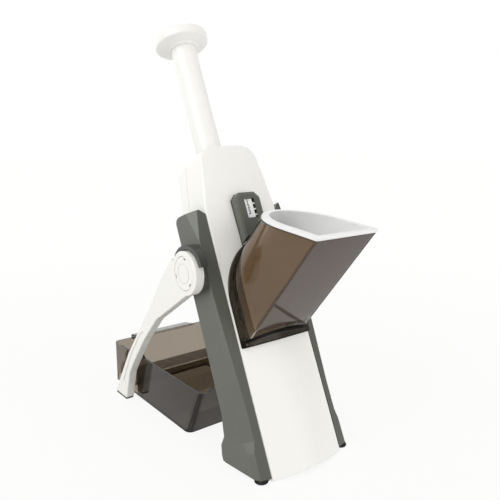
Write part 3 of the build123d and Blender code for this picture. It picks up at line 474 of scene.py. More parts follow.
@dataclass(frozen=True)
class SmokeResin(Recipe):
    """A clear moulded plastic with a smoke tint.

    The front walls have their own tint, which on the container's front is painted shade; the chute gets
    painted light, a lighter tint, near its foot;
    the flange and floor are darker, partly for denser resin and partly as painted shade, darkest at the
    flange's foot, painted shade; and passes is what a lamp's light keeps at each surface.
    """

    veil: Veil
    colour: Triple
    shade: Triple
    dense: Triple = (0.15, 0.135, 0.105)
    # painted shade: the flange's foot is tinted darkest
    foot: Triple = (0.02, 0.018, 0.014)
    # the front walls' tint; on the container it is painted shade
    cast: Triple = (0.24, 0.193, 0.165)
    # painted light: a lighter tint for the chute near its foot
    thin: Triple = (0.8, 0.7, 0.6)
    passes: Triple = (0.72, 0.66, 0.6)
    roughness: float = 0.05
    smudge: float = 0.03
    scratch: float = 0.04
    ior: float = 1.33
    wave: float = 28.0
    grain_share: float = 0.04
    depth: float = 0.00005

    @staticmethod
    def _within(w: Wiring, value: object, bounds: Pair, low: float = 1.0, high: float = 0.0) -> Socket:
        """Maps a length to a share over bounds in millimetres."""
        return w.spread(value, bounds[0] * MM, bounds[1] * MM, low, high)

    @staticmethod
    def _along(w: Wiring, way: Vector) -> Socket:
        """Measures how far a point lies from the toes in a direction."""
        from_toe = w.add("ShaderNodeVectorMath", {0: w.where(), 1: LEAN.toe}, operation="SUBTRACT")
        measured = w.add("ShaderNodeVectorMath", {0: from_toe.outputs[0], 1: way},
                         operation="DOT_PRODUCT")
        return measured.outputs["Value"]

    def _flange(self, w: Wiring) -> Socket:
        """Masks the flange, what lies close over the convex front panel, which gets the dense tint: denser
        resin with painted shade.
        """
        across = w.math("DIVIDE", w.apart(w.where())["X"], PANEL.half * MM)
        share = w.math("POWER", across, 2.0)
        slack = w.math("MULTIPLY", self._along(w, LEAN.up), (PANEL.high - PANEL.low) / PANEL.top)
        bulge = w.math("ADD", slack, PANEL.low * MM)
        crown = w.math("MULTIPLY", w.math("SUBTRACT", 1.0, share), bulge)
        proud = w.math("SUBTRACT", self._along(w, LEAN.out), crown)
        return self._within(w, proud, ChuteZones.rim)

    def _floor(self, w: Wiring) -> Socket:
        """Masks the floor, the raised shelf, the step between them and the grip, which get the dense tint:
        denser resin with painted shade.
        """
        place = w.apart(w.where())
        inside = w.math("LESS_THAN", w.math("ABSOLUTE", place["X"]), TrayZones.half * MM)
        low = self._within(w, place["Z"], TrayZones.shelf)
        ahead = w.math("LESS_THAN", place["Y"], TrayZones.rear * MM)
        step = w.math("MULTIPLY", w.math("MULTIPLY", inside, low), ahead)
        foot = self._within(w, place["Z"], TrayZones.floor)
        grip = self._within(w, place["Y"], TrayZones.grip, 0.0, TrayZones.grip_share)
        return w.math("MAXIMUM", w.math("MAXIMUM", step, foot), grip)

    def _chute_tint(self, w: Wiring, tint: object) -> tuple[Socket, Socket]:
        """Tints the chute's walls, with painted light near the foot and painted shade on the flange.

        Args:
            w: The material's wiring.
            tint: The plain tint's socket.

        Returns:
            The tint of the walls and that of the flange.
        """
        # the sloping front wall has a cooler tint than the sides
        slope = w.add("ShaderNodeVectorMath", {0: w.where("Normal"), 1: ChuteZones.front},
                      operation="DOT_PRODUCT")
        front = w.spread(w.math("ABSOLUTE", slope.outputs["Value"]), *ChuteZones.facing, 0.0, 1.0)
        tint = w.blend(front, tint, self.cast)
        # painted light: the walls get a lighter tint close to the front plane and towards the foot; painted
        # shade makes the flange's foot darkest
        thin = self._within(w, self._along(w, LEAN.out), ChuteZones.thin, ChuteZones.thin_share)
        tint = w.blend(thin, tint, self.thin)
        foot = self._within(w, self._along(w, LEAN.up), ChuteZones.foot)
        tint = w.blend(w.math("MULTIPLY", foot, ChuteZones.foot_share), tint, self.thin)
        return tint, w.blend(foot, self.dense, self.foot)

    def surface(self, w: Wiring, effects: SurfaceEffects, marks: bpy.types.NodeOutputs) -> Socket:
        """Wires its surface."""
        skin = w.add("ShaderNodeGroup", {"Wave": self.wave, "Grain Share": self.grain_share},
                     node_tree=effects.skin)
        tint = w.blend(skin.outputs["Tone"], self.colour, self.shade)
        dense: object = self.dense
        if self.veil is Veil.FLANGE:
            tint, dense = self._chute_tint(w, tint)
            mask = self._flange(w)
        else:
            # painted shade: the walls ahead of the shelf, near the housing, get the darker front tint
            ahead = self._within(w, w.apart(w.where())["Y"], TrayZones.ahead)
            tint = w.blend(ahead, tint, self.cast)
            mask = self._floor(w)
        bump = w.add("ShaderNodeBump", {"Distance": self.depth, "Height": skin.outputs["Height"]})
        # painted shade: the flange and the container's floor get the dense tint
        shader = w.add("ShaderNodeBsdfPrincipled", {
            "Base Color": w.blend(mask, tint, dense),
            "Transmission Weight": 1.0,
            "IOR": self.ior,
            "Roughness": w.total(self.roughness, (marks["Smudge"], self.smudge),
                                 (marks["Scratch"], self.scratch)),
            "Normal": bump.outputs[0],
        })
        # lamps shine through it, dimmed, onto what it covers
        clear = w.add("ShaderNodeBsdfTransparent", {"Color": self.passes})
        path = w.add("ShaderNodeLightPath")
        return w.add("ShaderNodeMixShader", {
            0: path.outputs["Is Shadow Ray"], 1: shader.outputs[0], 2: clear.outputs[0],
        }).outputs[0]


class Lay(Enum):
    """How a metal surface was worked."""

    DRAWN = "drawn"
    GROUND = "ground"


@dataclass(frozen=True)
class Steel(Recipe):
    """Stainless steel, drawn as wire and rod or ground as sheet."""

    lay: Lay = Lay.DRAWN
    colour: Triple = (0.62, 0.62, 0.61)
    dull: float = 0.82
    roughness: float = 0.22
    brush: float = 0.16
    smudge: float = 0.08
    line: float = 2600.0
    depth: float = 0.00002

    def surface(self, w: Wiring, effects: SurfaceEffects, marks: bpy.types.NodeOutputs) -> Socket:
        """Wires its surface."""
        stretched = {Lay.DRAWN: (1.0, 1.0, 0.02), Lay.GROUND: (0.02, 1.0, 1.0)}
        lines = w.add("ShaderNodeMapping", {
            "Vector": w.where(), "Scale": stretched[self.lay], "Rotation": (-LEAN.angle, 0.0, 0.0),
        })
        brushed = w.noise(lines.outputs[0], self.line, 3.0, 0.6)
        dull = tuple(self.dull * part for part in self.colour)
        bump = w.add("ShaderNodeBump", {"Distance": self.depth, "Height": brushed})
        return w.add("ShaderNodeBsdfPrincipled", {
            "Base Color": w.blend(brushed, self.colour, dull),
            "Metallic": 1.0,
            "Roughness": w.total(self.roughness, (brushed, self.brush),
                                 (marks["Smudge"], self.smudge)),
            "Normal": bump.outputs[0],
        }).outputs[0]


class Finish(Enum):
    """The finishes of the slicer."""

    WHITE_GLOSS = Plastic("white_gloss", (0.9, 0.894, 0.85), (0.885, 0.879, 0.836), 0.26, wear=0.012)
    WHITE_SATIN = Plastic("white_satin", (0.86, 0.86, 0.84), (0.84, 0.84, 0.82), 0.42, 2600.0, 0.5, wear=0.03)
    WHITE_CUP = Plastic("white_cup", (0.88, 0.88, 0.87), (0.866, 0.866, 0.857), 0.34, wear=0.02)
    # pit paints shade into the slots of the hub caps
    WHITE_CAP = Plastic("white_cap", (0.9, 0.894, 0.85), (0.885, 0.879, 0.836), 0.26, wear=0.012, pit=64.55)
    GREY_GREEN = Plastic(
        "grey_green", (0.08, 0.085, 0.064), (0.073, 0.078, 0.058), 0.42, 2400.0, 0.6, 0.00006,
        specular=0.8,
    )
    # lap paints shade on the collar over each hub
    GREY_RAIL = Plastic(
        "grey_rail", (0.083, 0.089, 0.067), (0.076, 0.082, 0.061), 0.42, 2400.0, 0.6, 0.00006,
        specular=0.9, lap=54.5,
    )
    # painted light: a lighter copy of the grey-green, so that the plaque reads brighter lit
    GREY_PLAQUE = Plastic(
        "grey_plaque_lit", (0.105, 0.11, 0.086), (0.096, 0.101, 0.079), 0.4, 2400.0, 0.6, 0.00006,
        specular=0.8,
    )
    BLACK_RUBBER = Plastic(
        "black_rubber", (0.018, 0.018, 0.018), (0.026, 0.026, 0.025), 0.62, 3200.0, 0.8, 0.0001,
    )
    MARK_GREY = Plastic("mark_grey", (0.11, 0.115, 0.11), (0.09, 0.095, 0.09), 0.5, edge=0.0)
    # black for the window's ground, and painted shade for the screw recesses and the plaque's joint
    WINDOW_BLACK = Plastic("black_ground_and_shade", (0.012, 0.012, 0.012), (0.02, 0.02, 0.02), 0.5, edge=0.0)
    SMOKE_CHUTE = SmokeResin("smoke_chute", Veil.FLANGE, (0.322, 0.254, 0.18), (0.3, 0.234, 0.164))
    # the container's floor and front-wall tints are partly painted shade
    SMOKE_TRAY = SmokeResin(
        "smoke_tray", Veil.FLOOR, (0.34, 0.294, 0.242), (0.322, 0.278, 0.228), (0.085, 0.063, 0.043),
        cast=(0.21, 0.182, 0.148),
    )
    STEEL_DRAWN = Steel("steel_drawn")
    STEEL_GROUND = Steel("steel_ground", Lay.GROUND, roughness=0.16)


class Palette:
    """Makes each finish's material once."""

    def __init__(self) -> None:
        """Builds the shared effects."""
        self._effects = SurfaceEffects()
        self._made: dict[Finish, bpy.types.Material] = {}

    def get(self, finish: Finish) -> bpy.types.Material:
        """Returns the finish's material, made when it is first asked for."""
        if finish not in self._made:
            self._made[finish] = finish.value.make(self._effects)
        return self._made[finish]

    def dress(self, finish: Finish, *nodes: str) -> None:
        """Gives the finish to these solids."""
        for name in nodes:
            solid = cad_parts[name]
            if not solid.material_slots:
                solid.data.materials.append(self.get(finish))
            for held in solid.material_slots:
                held.material = self.get(finish)
            log.info("%s: %s", name, finish.value.name)


# -------- geometry node tools
class Grown:
    """A mesh grown by a geometry node tree."""

    def __init__(self, name: str, inputs: dict[str, object]) -> None:
        """Starts the tree.

        Args:
            name: The tree's name.
            inputs: Default of each input.
        """
        self.tree = new_group(
            name, "GeometryNodeTree",
            {"Geometry": "NodeSocketGeometry", **inputs, "Finish": "NodeSocketMaterial"},
            {"Geometry": "NodeSocketGeometry"},
        )
        self.wiring = Wiring(self.tree)
        self.given = self.wiring.add("NodeGroupInput")

    def close(self, geometry: Socket) -> None:
        """Ends the tree: realizes the instances and sets the finish."""
        w = self.wiring
        real = w.add("GeometryNodeRealizeInstances", {0: geometry})
        finish = w.add("GeometryNodeSetMaterial", {
            "Geometry": real.outputs[0], "Material": self.given.outputs["Finish"],
        })
        w.join(finish.outputs[0], w.add("NodeGroupOutput").inputs[0])

    def grow(self, name: str, host: bpy.types.Mesh | None = None, **values: object) -> bpy.types.Object:
        """Evaluates the tree into a plain mesh.

        Args:
            name: The new object's name.
            host: Mesh that the tree starts from, such as a set of points.
            **values: Inputs' values, by name with underscores for spaces.

        Returns:
            The object, with no modifier left on it.
        """
        seed = bpy.data.objects.new(name, host or bpy.data.meshes.new(name))
        bpy.context.scene.collection.objects.link(seed)
        modifier = seed.modifiers.new("grown", "NODES")
        modifier.node_group = self.tree
        sockets = {item.name: item.identifier for item in self.tree.interface.items_tree
                   if item.in_out == "INPUT"}
        for label, value in values.items():
            modifier[sockets[label.replace("_", " ")]] = value
        graph = bpy.context.evaluated_depsgraph_get()
        mesh = bpy.data.meshes.new_from_object(seed.evaluated_get(graph), depsgraph=graph)
        seed.modifiers.remove(modifier)
        seed.data = mesh
        return seed


def as_object(name: str, form: bmesh.types.BMesh, material: bpy.types.Material) -> bpy.types.Object:
    """Turns a bmesh, which is freed, into an object of one finish at the origin."""
    mesh = bpy.data.meshes.new(name)
    form.to_mesh(mesh)
    form.free()
    mesh.materials.append(material)
    made = bpy.data.objects.new(name, mesh)
    bpy.context.scene.collection.objects.link(made)
    return made


def mesh_piece(name: str, form: bmesh.types.BMesh, material: bpy.types.Material,
               place: Matrix | None = None, smooth: bool = False) -> bpy.types.Object:
    """Turns a bmesh into a finished piece.

    Args:
        name: The piece's name.
        form: The shape, which is freed.
        material: Its finish.
        place: Where it goes; its place ends up in the mesh.
        smooth: Shades it smooth.

    Returns:
        The piece's object, at the origin.
    """
    bmesh.ops.remove_doubles(form, verts=form.verts, dist=1e-7)
    bmesh.ops.recalc_face_normals(form, faces=form.faces)
    if place is not None:
        form.transform(place)
    for face in form.faces:
        face.smooth = smooth
    return as_object(name, form, material)


def plate_form(outline: Sequence[Pair], low: float, high: float) -> bmesh.types.BMesh:
    """Makes a flat plate from its outline.

    Args:
        outline: Corners in order, in millimetres.
        low: Height of its underside, in millimetres.
        high: Height of its face, in millimetres.

    Returns:
        The plate, in metres.
    """
    form = bmesh.new()
    foot = [form.verts.new((x * MM, y * MM, low * MM)) for x, y in outline]
    face = [form.verts.new((x * MM, y * MM, high * MM)) for x, y in outline]
    form.faces.new(foot)
    form.faces.new(face)
    for k in range(len(outline)):
        j = (k + 1) % len(outline)
        form.faces.new((foot[k], foot[j], face[j], face[k]))
    return form


def rounded_outline(half_x: float, half_y: float, radius: float, steps: int = 6) -> list[Pair]:
    """Corners of a rounded rectangle about the origin.

    Args:
        half_x: Half its width.
        half_y: Half its height.
        radius: Radius of its corners.
        steps: Steps to a corner.

    Returns:
        Its corners in order.
    """
    corners = []
    for quarter, (sx, sy) in enumerate(((1, 1), (-1, 1), (-1, -1), (1, -1))):
        for k in range(steps + 1):
            angle = math.pi / 2 * (quarter + k / steps)
            corners.append((sx * (half_x - radius) + radius * math.cos(angle),
                            sy * (half_y - radius) + radius * math.sin(angle)))
    return corners


def bead_form(path: Sequence[Vector], off: Sequence[Vector], width: float, closed: bool) -> bmesh.types.BMesh:
    """Makes a small five-sided bead along a path on a surface.

    Args:
        path: Points on the surface, in metres.
        off: The surface's outward direction at each point.
        width: The bead's width in metres; it stands out half as far.
        closed: Joins its ends.

    Returns:
        The bead.
    """
    form = bmesh.new()
    rings = []
    count = len(path)
    for k, (point, normal) in enumerate(zip(path, off)):
        before = path[k - 1] if closed or k else path[k]
        after = path[(k + 1) % count] if closed or k + 1 < count else path[k]
        side = (after - before).normalized().cross(normal).normalized()
        corners = ((-0.5, -0.3), (-0.42, 0.3), (0.0, 0.5), (0.42, 0.3), (0.5, -0.3))
        rings.append([form.verts.new(point + side * (a * width) + normal * (b * width)) for a, b in corners])
    for k in range(count if closed else count - 1):
        near, far = rings[k], rings[(k + 1) % count]
        for m in range(5):
            n = (m + 1) % 5
            form.faces.new((near[m], near[n], far[n], far[m]))
    if not closed:
        form.faces.new(rings[0])
        form.faces.new(rings[-1])
    return form


def word_mesh(name: str, text: str, size: float, depth: float, material: bpy.types.Material,
              place: Matrix) -> bpy.types.Object:
    """Makes a raised numeral as a plain mesh.

    Args:
        name: The piece's name.
        text: The numeral.
        size: Its height in millimetres.
        depth: How far it stands out, in millimetres.
        material: Its finish.
        place: Where it goes.

    Returns:
        The piece's object, at the origin.
    """
    curve = bpy.data.curves.new(name, "FONT")
    curve.body, curve.size, curve.extrude = text, size * MM * 1.4, depth * MM / 2
    curve.offset = 0.035 * size * MM
    curve.align_x, curve.align_y, curve.resolution_u = "CENTER", "CENTER", 4
    typed = bpy.data.objects.new(name, curve)
    bpy.context.scene.collection.objects.link(typed)
    graph = bpy.context.evaluated_depsgraph_get()
    form = bmesh.new()
    form.from_mesh(bpy.data.meshes.new_from_object(typed.evaluated_get(graph), depsgraph=graph))
    bpy.data.objects.remove(typed)
    return mesh_piece(name, form, material, place)


def joined(name: str, pieces: Sequence[bpy.types.Object]) -> bpy.types.Object:
    """Joins pieces of one finish into one object.

    Args:
        name: The object's name.
        pieces: The pieces, which are removed.

    Returns:
        The joined object.
    """
    form = bmesh.new()
    for piece in pieces:
        form.from_mesh(piece.data)
    material = pieces[0].data.materials[0]
    for piece in pieces:
        bpy.data.objects.remove(piece)
    return as_object(name, form, material)


def settle(piece: bpy.types.Object, body: str, slot: str, *stands_for: str) -> bpy.types.Object:
    """Makes a piece ride on its body and hides what it stands for.

    Args:
        piece: The piece.
        body: The body that it rides on.
        slot: Not used.
        *stands_for: Solids that it replaces.

    Returns:
        The piece.
    """
    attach(piece, body)
    if stands_for:
        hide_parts(*stands_for)
    log.info("%s rides on %s", piece.name, body)
    return piece


# -------- sub-assemblies
class SubAssembly:
    """Solids that are dressed together, with the pieces made for them."""

    looks: tuple = ()

    def build(self, palette: Palette) -> None:
        """Gives its solids their finishes, which looks names with the solids of each."""
        for finish, *nodes in self.looks:
            palette.dress(finish, *nodes)


@dataclass
class Housing(SubAssembly):
    """The two white shells with the handle's bush and the screws that close them."""

    screw_spots: tuple = ((28.0, 60.0), (23.5, 252.0))
    head_sink: float = 0.3
    looks = (
        (Finish.WHITE_GLOSS, "front_shell", "rear_shell"),
        (Finish.WHITE_SATIN, "shaft_bush"),
        (Finish.STEEL_DRAWN, "housing_screws", "rail_screws"),
    )

    def recesses(self, palette: Palette) -> None:
        """Paints shade into each screw head's cross recess as a black cross."""
        grown = Grown("cross_recess_shade", {"Length": 0.0032, "Width": 0.0009, "Depth": 0.0002, "Tilt": 0.0})
        w, given = grown.wiring, grown.given.outputs
        both = w.add("GeometryNodeJoinGeometry")
        for size in (("Length", "Width"), ("Width", "Length")):
            bar = w.add("GeometryNodeMeshCube", {
                "Size": w.vector(given[size[0]], given[size[1]], given["Depth"]),
            })
            w.join(bar.outputs[0], both.inputs[0])
        spread = w.add("GeometryNodeInstanceOnPoints", {
            "Points": given["Geometry"], "Instance": both.outputs[0],
            "Rotation": w.vector(given["Tilt"]),
        })
        grown.close(spread.outputs[0])
        heads = bpy.data.meshes.new("screw_heads")
        heads.from_pydata([tuple(LEAN.at(side * x, height, HOUSING_BACK - self.head_sink))
                           for x, height in self.screw_spots for side in (-1.0, 1.0)], [], [])
        # painted shade: black crosses where the recesses lie in shadow
        crosses = grown.grow(
            "screw_recess_shade", heads, Tilt=math.pi / 2 - LEAN.angle,
            Finish=palette.get(Finish.WINDOW_BLACK),
        )
        settle(crosses, "frame", "steel")

    def build(self, palette: Palette) -> None:
        """Builds and dresses the housing."""
        super().build(palette)
        self.recesses(palette)


class SideRails(SubAssembly):
    """The grey side rails with their rubber pads and hub pins."""

    looks = (
        (Finish.GREY_RAIL, "left_rail", "right_rail"),
        (Finish.BLACK_RUBBER, "left_rail_pad", "right_rail_pad"),
        (Finish.STEEL_DRAWN, "left_hub_pin", "right_hub_pin"),
    )


class FoldingLegs(SubAssembly):
    """The two folding legs with their hub caps and pads."""

    looks = (
        (Finish.WHITE_GLOSS, "left_leg", "right_leg"),
        (Finish.WHITE_CAP, "left_hub_cap", "right_hub_cap"),
        (Finish.BLACK_RUBBER, "left_leg_pad", "right_leg_pad"),
    )


@dataclass
class PressHandle(SubAssembly):
    """The sprung handle with its knob, blade carriage, rods and springs."""

    rod_offset: float = 32.6
    shaft_depth: float = 26.0
    spring_low: float = 95.3
    spring_high: float = 200.4
    spring_radius: float = 2.8
    spring_wire: float = 0.4
    spring_turns: float = 26.0
    stroke: float = 88.0
    looks = (
        (Finish.WHITE_GLOSS, "press_shaft", "press_knob"),
        (Finish.WHITE_SATIN, "blade_carriage", "blade_bed"),
        (Finish.STEEL_DRAWN, "guide_rods", "blade_screws"),
        (Finish.STEEL_GROUND, "slicing_blade"),
    )

    def _spring_tree(self) -> Grown:
        """Builds the tree of a coil spring along the lean."""
        grown = Grown("coil_spring", {
            "Turns": 20.0, "Radius": 0.003, "Rise": 0.1, "Wire": 0.0004,
            "Foot": (0.0, 0.0, 0.0), "Tilt": 0.0,
        })
        w, given = grown.wiring, grown.given.outputs
        spiral = w.add("GeometryNodeCurveSpiral", {
            "Resolution": 20, "Rotations": given["Turns"], "Start Radius": given["Radius"],
            "End Radius": given["Radius"], "Height": given["Rise"],
        })
        wire = w.add("GeometryNodeCurvePrimitiveCircle", {"Resolution": 8, "Radius": given["Wire"]})
        swept = w.add("GeometryNodeCurveToMesh", {
            "Curve": spiral.outputs[0], "Profile Curve": wire.outputs[0], "Fill Caps": True,
        })
        placed = w.add("GeometryNodeTransform", {
            "Geometry": swept.outputs[0], "Translation": given["Foot"],
            "Rotation": w.vector(given["Tilt"]),
        })
        grown.close(placed.outputs[0])
        return grown

    def springs(self, palette: Palette) -> None:
        """Builds the two return springs at rest; the real ones shorten as the handle goes down."""
        grown = self._spring_tree()
        rise = self.spring_high - self.spring_low - 2 * self.spring_wire
        for side, name in ((-1.0, "left_spring"), (1.0, "right_spring")):
            foot = LEAN.at(side * self.rod_offset, self.spring_low + self.spring_wire, self.shaft_depth)
            coil = grown.grow(
                f"{name}_coil", Turns=self.spring_turns, Radius=self.spring_radius * MM,
                Rise=rise * MM, Wire=self.spring_wire * MM, Foot=foot, Tilt=-LEAN.angle,
                Finish=palette.get(Finish.STEEL_DRAWN),
            )
            for face in coil.data.polygons:
                face.use_smooth = True
            settle(coil, "frame", "steel", name)
            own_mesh(coil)

    def build(self, palette: Palette) -> None:
        """Builds and dresses the press."""
        super().build(palette)
        self.springs(palette)


class FoodChute(SubAssembly):
    """The smoke chute and the white cup that pushes the food down it."""

    looks = ((Finish.SMOKE_CHUTE, "chute"), (Finish.WHITE_CUP, "pusher", "pusher_pins"))


class CatchContainer(SubAssembly):
    """The smoke container behind the housing, and the ramp that feeds it."""

    looks = ((Finish.SMOKE_TRAY, "container"), (Finish.WHITE_SATIN, "discharge_ramp"))


@dataclass
class ThicknessGear(SubAssembly):
    """Dial, stop plate, selector and strip cutter at the back."""

    dial: Pair = (-8.0, 124.0)
    positions: int = 8
    sweep: float = 270.0
    mark_radius: float = 18.6
    mark_length: float = 2.2
    numeral_radius: float = 22.0
    numeral_size: float = 3.4
    numeral_rise: float = 0.3
    looks = (
        (Finish.WHITE_SATIN, "thickness_plate", "comb_carrier"),
        (Finish.GREY_GREEN, "thickness_dial", "selector_knob"),
        (Finish.STEEL_GROUND, "julienne_blades"),
    )

    def graduations(self, palette: Palette) -> None:
        """Sets the marks around the dial on the housing's back."""
        grown = Grown("graduations", {
            "Count": 8, "Sweep": 4.7, "Radius": 0.018, "Length": 0.002, "Width": 0.0005,
            "Depth": 0.0003, "Middle": (0.0, 0.0, 0.0), "Tilt": (0.0, 0.0, 0.0),
        })
        w, given = grown.wiring, grown.given.outputs
        bar = w.add("GeometryNodeMeshCube", {
            "Size": w.vector(given["Width"], given["Length"], given["Depth"]),
        })
        index = w.add("GeometryNodeInputIndex").outputs[0]
        last = w.math("SUBTRACT", given["Count"], 1.0)
        angle = w.math("MULTIPLY", w.math("DIVIDE", index, last), given["Sweep"])
        points = w.add("GeometryNodePoints", {
            "Count": given["Count"],
            "Position": w.vector(w.math("MULTIPLY", w.math("SINE", angle), given["Radius"]),
                                 w.math("MULTIPLY", w.math("COSINE", angle), given["Radius"])),
        })
        spread = w.add("GeometryNodeInstanceOnPoints", {
            "Points": points.outputs[0], "Instance": bar.outputs[0],
            "Rotation": w.vector(z=w.math("MULTIPLY", angle, -1.0)),
        })
        placed = w.add("GeometryNodeTransform", {
            "Geometry": spread.outputs[0], "Translation": given["Middle"],
            "Rotation": given["Tilt"],
        })
        grown.close(placed.outputs[0])
        middle = LEAN.at(*self.dial, HOUSING_BACK)
        marks = grown.grow(
            "dial_graduations", Count=self.positions, Sweep=math.radians(self.sweep),
            Radius=self.mark_radius * MM, Length=self.mark_length * MM, Middle=middle,
            Tilt=LEAN.basis(middle, True).to_euler(), Finish=palette.get(Finish.MARK_GREY),
        )
        settle(marks, "frame", "grey_green")

    def numerals(self, palette: Palette) -> None:
        """Puts a plain numeral beside each mark."""
        made = []
        for k in range(self.positions):
            turn = math.radians(-self.sweep * k / (self.positions - 1))
            x = self.dial[0] + self.numeral_radius * math.sin(turn)
            height = self.dial[1] + self.numeral_radius * math.cos(turn)
            place = LEAN.basis(LEAN.at(x, height, HOUSING_BACK), True)
            made.append(word_mesh(f"numeral_{k}", str(k), self.numeral_size, self.numeral_rise,
                                  palette.get(Finish.MARK_GREY), place))
        settle(joined("dial_numerals", made), "frame", "grey_green")

    def build(self, palette: Palette) -> None:
        """Builds and dresses the gear."""
        super().build(palette)
        self.graduations(palette)
        self.numerals(palette)


@dataclass
class ThicknessScale(SubAssembly):
    """The grey plaque above the chute with its window and stepped slider."""

    half: float = 13.2
    low: float = 180.0
    top: float = 233.4
    corner: float = 5.0
    face: float = 13.0
    window: Pair = (0.6, 218.6)
    window_half: Pair = (5.5, 8.5)
    slider_face: float = 12.0
    slider_middle: float = -1.3
    numeral_heights: tuple[float, ...] = (224.9, 220.3, 215.2)
    numeral_size: float = 4.1
    numeral_rise: float = 0.12
    ground_middle: Pair = (0.6, 215.0)
    ground_half: Pair = (5.9, 14.3)
    ground_depth: Pair = (9.7, 10.1)
    window_corner: float = 0.8
    lip_off: float = 0.35
    lip_width: float = 0.5
    # painted shadow in the joint between the plaque and the panel
    seam_start: float = 7.0       # above the plaque's foot
    seam_off: float = 0.35
    seam_width: float = 0.8
    seam_steps: int = 8
    looks = ((Finish.GREY_PLAQUE, "scale_plaque"), (Finish.WHITE_CUP, "scale_slider"))

    def ground(self, palette: Palette) -> None:
        """Lays the black ground behind the slider."""
        form = plate_form(rounded_outline(*self.ground_half, self.window_corner), *self.ground_depth)
        place = LEAN.basis(LEAN.at(*self.ground_middle, 0.0))
        settle(mesh_piece("window_ground", form, palette.get(Finish.WINDOW_BLACK), place),
               "frame", "black_rubber")

    def lip(self, palette: Palette) -> None:
        """Runs a fine bead around the window."""
        outline = rounded_outline(*(half + self.lip_off for half in self.window_half),
                                  self.window_corner)
        place = LEAN.basis(LEAN.at(*self.window, -self.face))
        path = [place @ Vector((x * MM, y * MM, 0.0)) for x, y in outline]
        form = bead_form(path, [LEAN.out] * len(path), self.lip_width * MM, True)
        settle(mesh_piece("window_lip", form, palette.get(Finish.GREY_PLAQUE), smooth=True),
               "frame", "grey_green")

    def seam(self, palette: Palette) -> None:
        """Paints the shadow in the joint around the plaque's foot as a black bead over the convex panel."""
        start = self.low + self.seam_start
        edge = [(-self.half, start), (-self.half, self.top - self.corner),
                (self.corner - self.half, self.top), (self.half - self.corner, self.top),
                (self.half, self.top - self.corner), (self.half, start)]
        path = []
        for (x0, h0), (x1, h1) in zip(edge, edge[1:]):
            for k in range(self.seam_steps):
                part = k / self.seam_steps
                x, height = x0 + (x1 - x0) * part, h0 + (h1 - h0) * part
                path.append(LEAN.at(x, height, -PANEL.out(x, height) - self.seam_off))
        form = bead_form(path, [LEAN.out] * len(path), self.seam_width * MM, False)
        settle(mesh_piece("plaque_shadow_line", form, palette.get(Finish.WINDOW_BLACK)),
               "frame", "black_rubber")

    def numerals(self, palette: Palette) -> None:
        """Puts the plain numerals on the slider."""
        made = [
            word_mesh(f"step_{k}", str(k + 1), self.numeral_size, self.numeral_rise,
                      palette.get(Finish.MARK_GREY),
                      LEAN.basis(LEAN.at(self.slider_middle, height, -self.slider_face)))
            for k, height in enumerate(self.numeral_heights)
        ]
        settle(joined("slider_numerals", made), "scale", "grey_green")

    def build(self, palette: Palette) -> None:
        """Builds and dresses the scale."""
        super().build(palette)
        self.ground(palette)
        self.lip(palette)
        self.seam(palette)
        self.numerals(palette)


# -------- studio
@dataclass(frozen=True)
class Lamp:
    """A soft square lamp: where it hangs, what it faces, its side in metres and its watts.

    With sheen, gloss shows the lamp itself.
    """

    name: str
    at: Triple
    aim: Triple
    size: float
    power: float
    sheen: bool = False

    def hang(self) -> None:
        """Adds the lamp to the scene."""
        data = bpy.data.lights.new(self.name, "AREA")
        data.shape, data.size, data.energy = "SQUARE", self.size, self.power
        made = bpy.data.objects.new(self.name, data)
        made.location = self.at
        made.rotation_euler = (Vector(self.aim) - Vector(self.at)).to_track_quat("-Z", "Y").to_euler()
        made.visible_glossy = self.sheen
        bpy.context.scene.collection.objects.link(made)


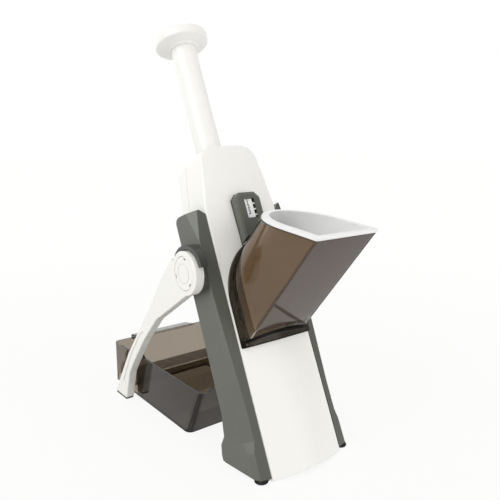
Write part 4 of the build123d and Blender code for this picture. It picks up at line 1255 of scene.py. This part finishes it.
@dataclass
class Studio:
    """Pale floor, soft light and the camera."""

    camera_at: Triple = (-0.29944, -0.41145, 0.26633)
    azimuth: float = 0.66211
    elevation: float = 0.19423
    roll: float = -0.001
    lens: float = 40.51
    sensor: float = 36.0
    daylight: float = 0.7
    gloss_dim: float = 0.3
    gloss_bright: float = 1.6
    gloss_reach: Pair = (-0.7, 0.8)
    diagonal: float = 0.7         # share of X and of Y in the way to the left rear
    floor_half: float = 8.0
    glow_reach: Pair = (0.25, 0.9)
    glow_near: float = 0.88
    lamps: tuple[Lamp, ...] = (
        Lamp("key", (-1.5, -0.2, 1.2), (0.0, 0.0, 0.15), 1.1, 10.5, True),
        Lamp("front", (0.6, -1.6, 0.55), (0.0, 0.0, 0.1), 1.0, 7.0),
        Lamp("right", (1.4, 0.4, 0.8), (0.0, 0.0, 0.15), 0.9, 2.0),
    )

    def floor(self) -> None:
        """Lays the pale floor, which keeps the object's shadow."""
        form = bmesh.new()
        bmesh.ops.create_grid(form, x_segments=1, y_segments=1, size=self.floor_half)
        material = bpy.data.materials.new("pale_floor")
        w = cleared(material)
        matt = w.add("ShaderNodeBsdfDiffuse", {"Color": (0.9, 0.9, 0.89)})
        glow = w.add("ShaderNodeEmission", {"Color": (1.0, 1.0, 0.995)})
        path = w.add("ShaderNodeLightPath").outputs
        seen = w.math("MAXIMUM", path["Is Camera Ray"], path["Is Glossy Ray"])
        seen = w.math("MAXIMUM", seen, path["Is Transmission Ray"])
        far = w.add("ShaderNodeVectorMath", {0: w.where()}, operation="LENGTH")
        glowing = w.spread(far.outputs["Value"], *self.glow_reach, self.glow_near, 1.0)
        mixed = w.add("ShaderNodeMixShader", {
            0: w.math("MULTIPLY", seen, glowing), 1: matt.outputs[0], 2: glow.outputs[0],
        })
        w.join(mixed.outputs[0], w.add("ShaderNodeOutputMaterial").inputs["Surface"])
        mesh_piece("floor", form, material)

    def world(self) -> None:
        """Fills the surroundings: white to look at, softer as a light."""
        world = bpy.data.worlds.new("studio")
        bpy.context.scene.world = world
        w = cleared(world)
        path = w.add("ShaderNodeLightPath").outputs
        seen = w.math("MAXIMUM", path["Is Camera Ray"], path["Is Transmission Ray"])
        # gloss sees a room that is brighter behind on the left than in front on the right
        way = w.apart(w.where("Generated"))
        leftward = w.math("SUBTRACT", w.math("MULTIPLY", way["Y"], self.diagonal),
                          w.math("MULTIPLY", way["X"], self.diagonal))
        gloss = w.spread(leftward, *self.gloss_reach, self.gloss_dim, self.gloss_bright)
        strength = w.math("ADD", self.daylight, w.math("MULTIPLY", seen, 1.0 - self.daylight))
        glossy = w.math("MULTIPLY", path["Is Glossy Ray"], w.math("SUBTRACT", gloss, self.daylight))
        air = w.add("ShaderNodeBackground", {
            "Color": (1.0, 1.0, 1.0), "Strength": w.math("ADD", strength, glossy),
        })
        w.join(air.outputs[0], w.add("ShaderNodeOutputWorld").inputs["Surface"])

    def camera(self) -> None:
        """Sets up the camera."""
        data = bpy.data.cameras.new("camera")
        data.sensor_width, data.lens = self.sensor, self.lens
        data.clip_start = 0.01
        made = bpy.data.objects.new("camera", data)
        level = math.cos(self.elevation)
        look = Vector((math.sin(self.azimuth) * level, math.cos(self.azimuth) * level,
                       -math.sin(self.elevation)))
        turn = look.to_track_quat("-Z", "Y").to_matrix() @ Matrix.Rotation(-self.roll, 3, "Z")
        made.matrix_world = Matrix.Translation(self.camera_at) @ turn.to_4x4()
        bpy.context.scene.collection.objects.link(made)
        bpy.context.scene.camera = made

    def build(self) -> None:
        """Sets up the whole studio."""
        self.camera()
        self.floor()
        self.world()
        for lamp in self.lamps:
            lamp.hang()
        scene = bpy.context.scene
        scene.view_settings.view_transform = "Standard"
        log.info("studio ready")


def main() -> None:
    """Builds the slicer piece by piece and sets up the studio."""
    logging.basicConfig(level=logging.INFO, format="%(name)s: %(message)s")
    palette = Palette()
    Studio().build()
    for part in (Housing(), SideRails(), FoldingLegs(), PressHandle(), FoodChute(),
                 CatchContainer(), ThicknessGear(), ThicknessScale()):
        part.build(palette)
        log.info("%s done", type(part).__name__)


if __name__ == "__main__":
    main()
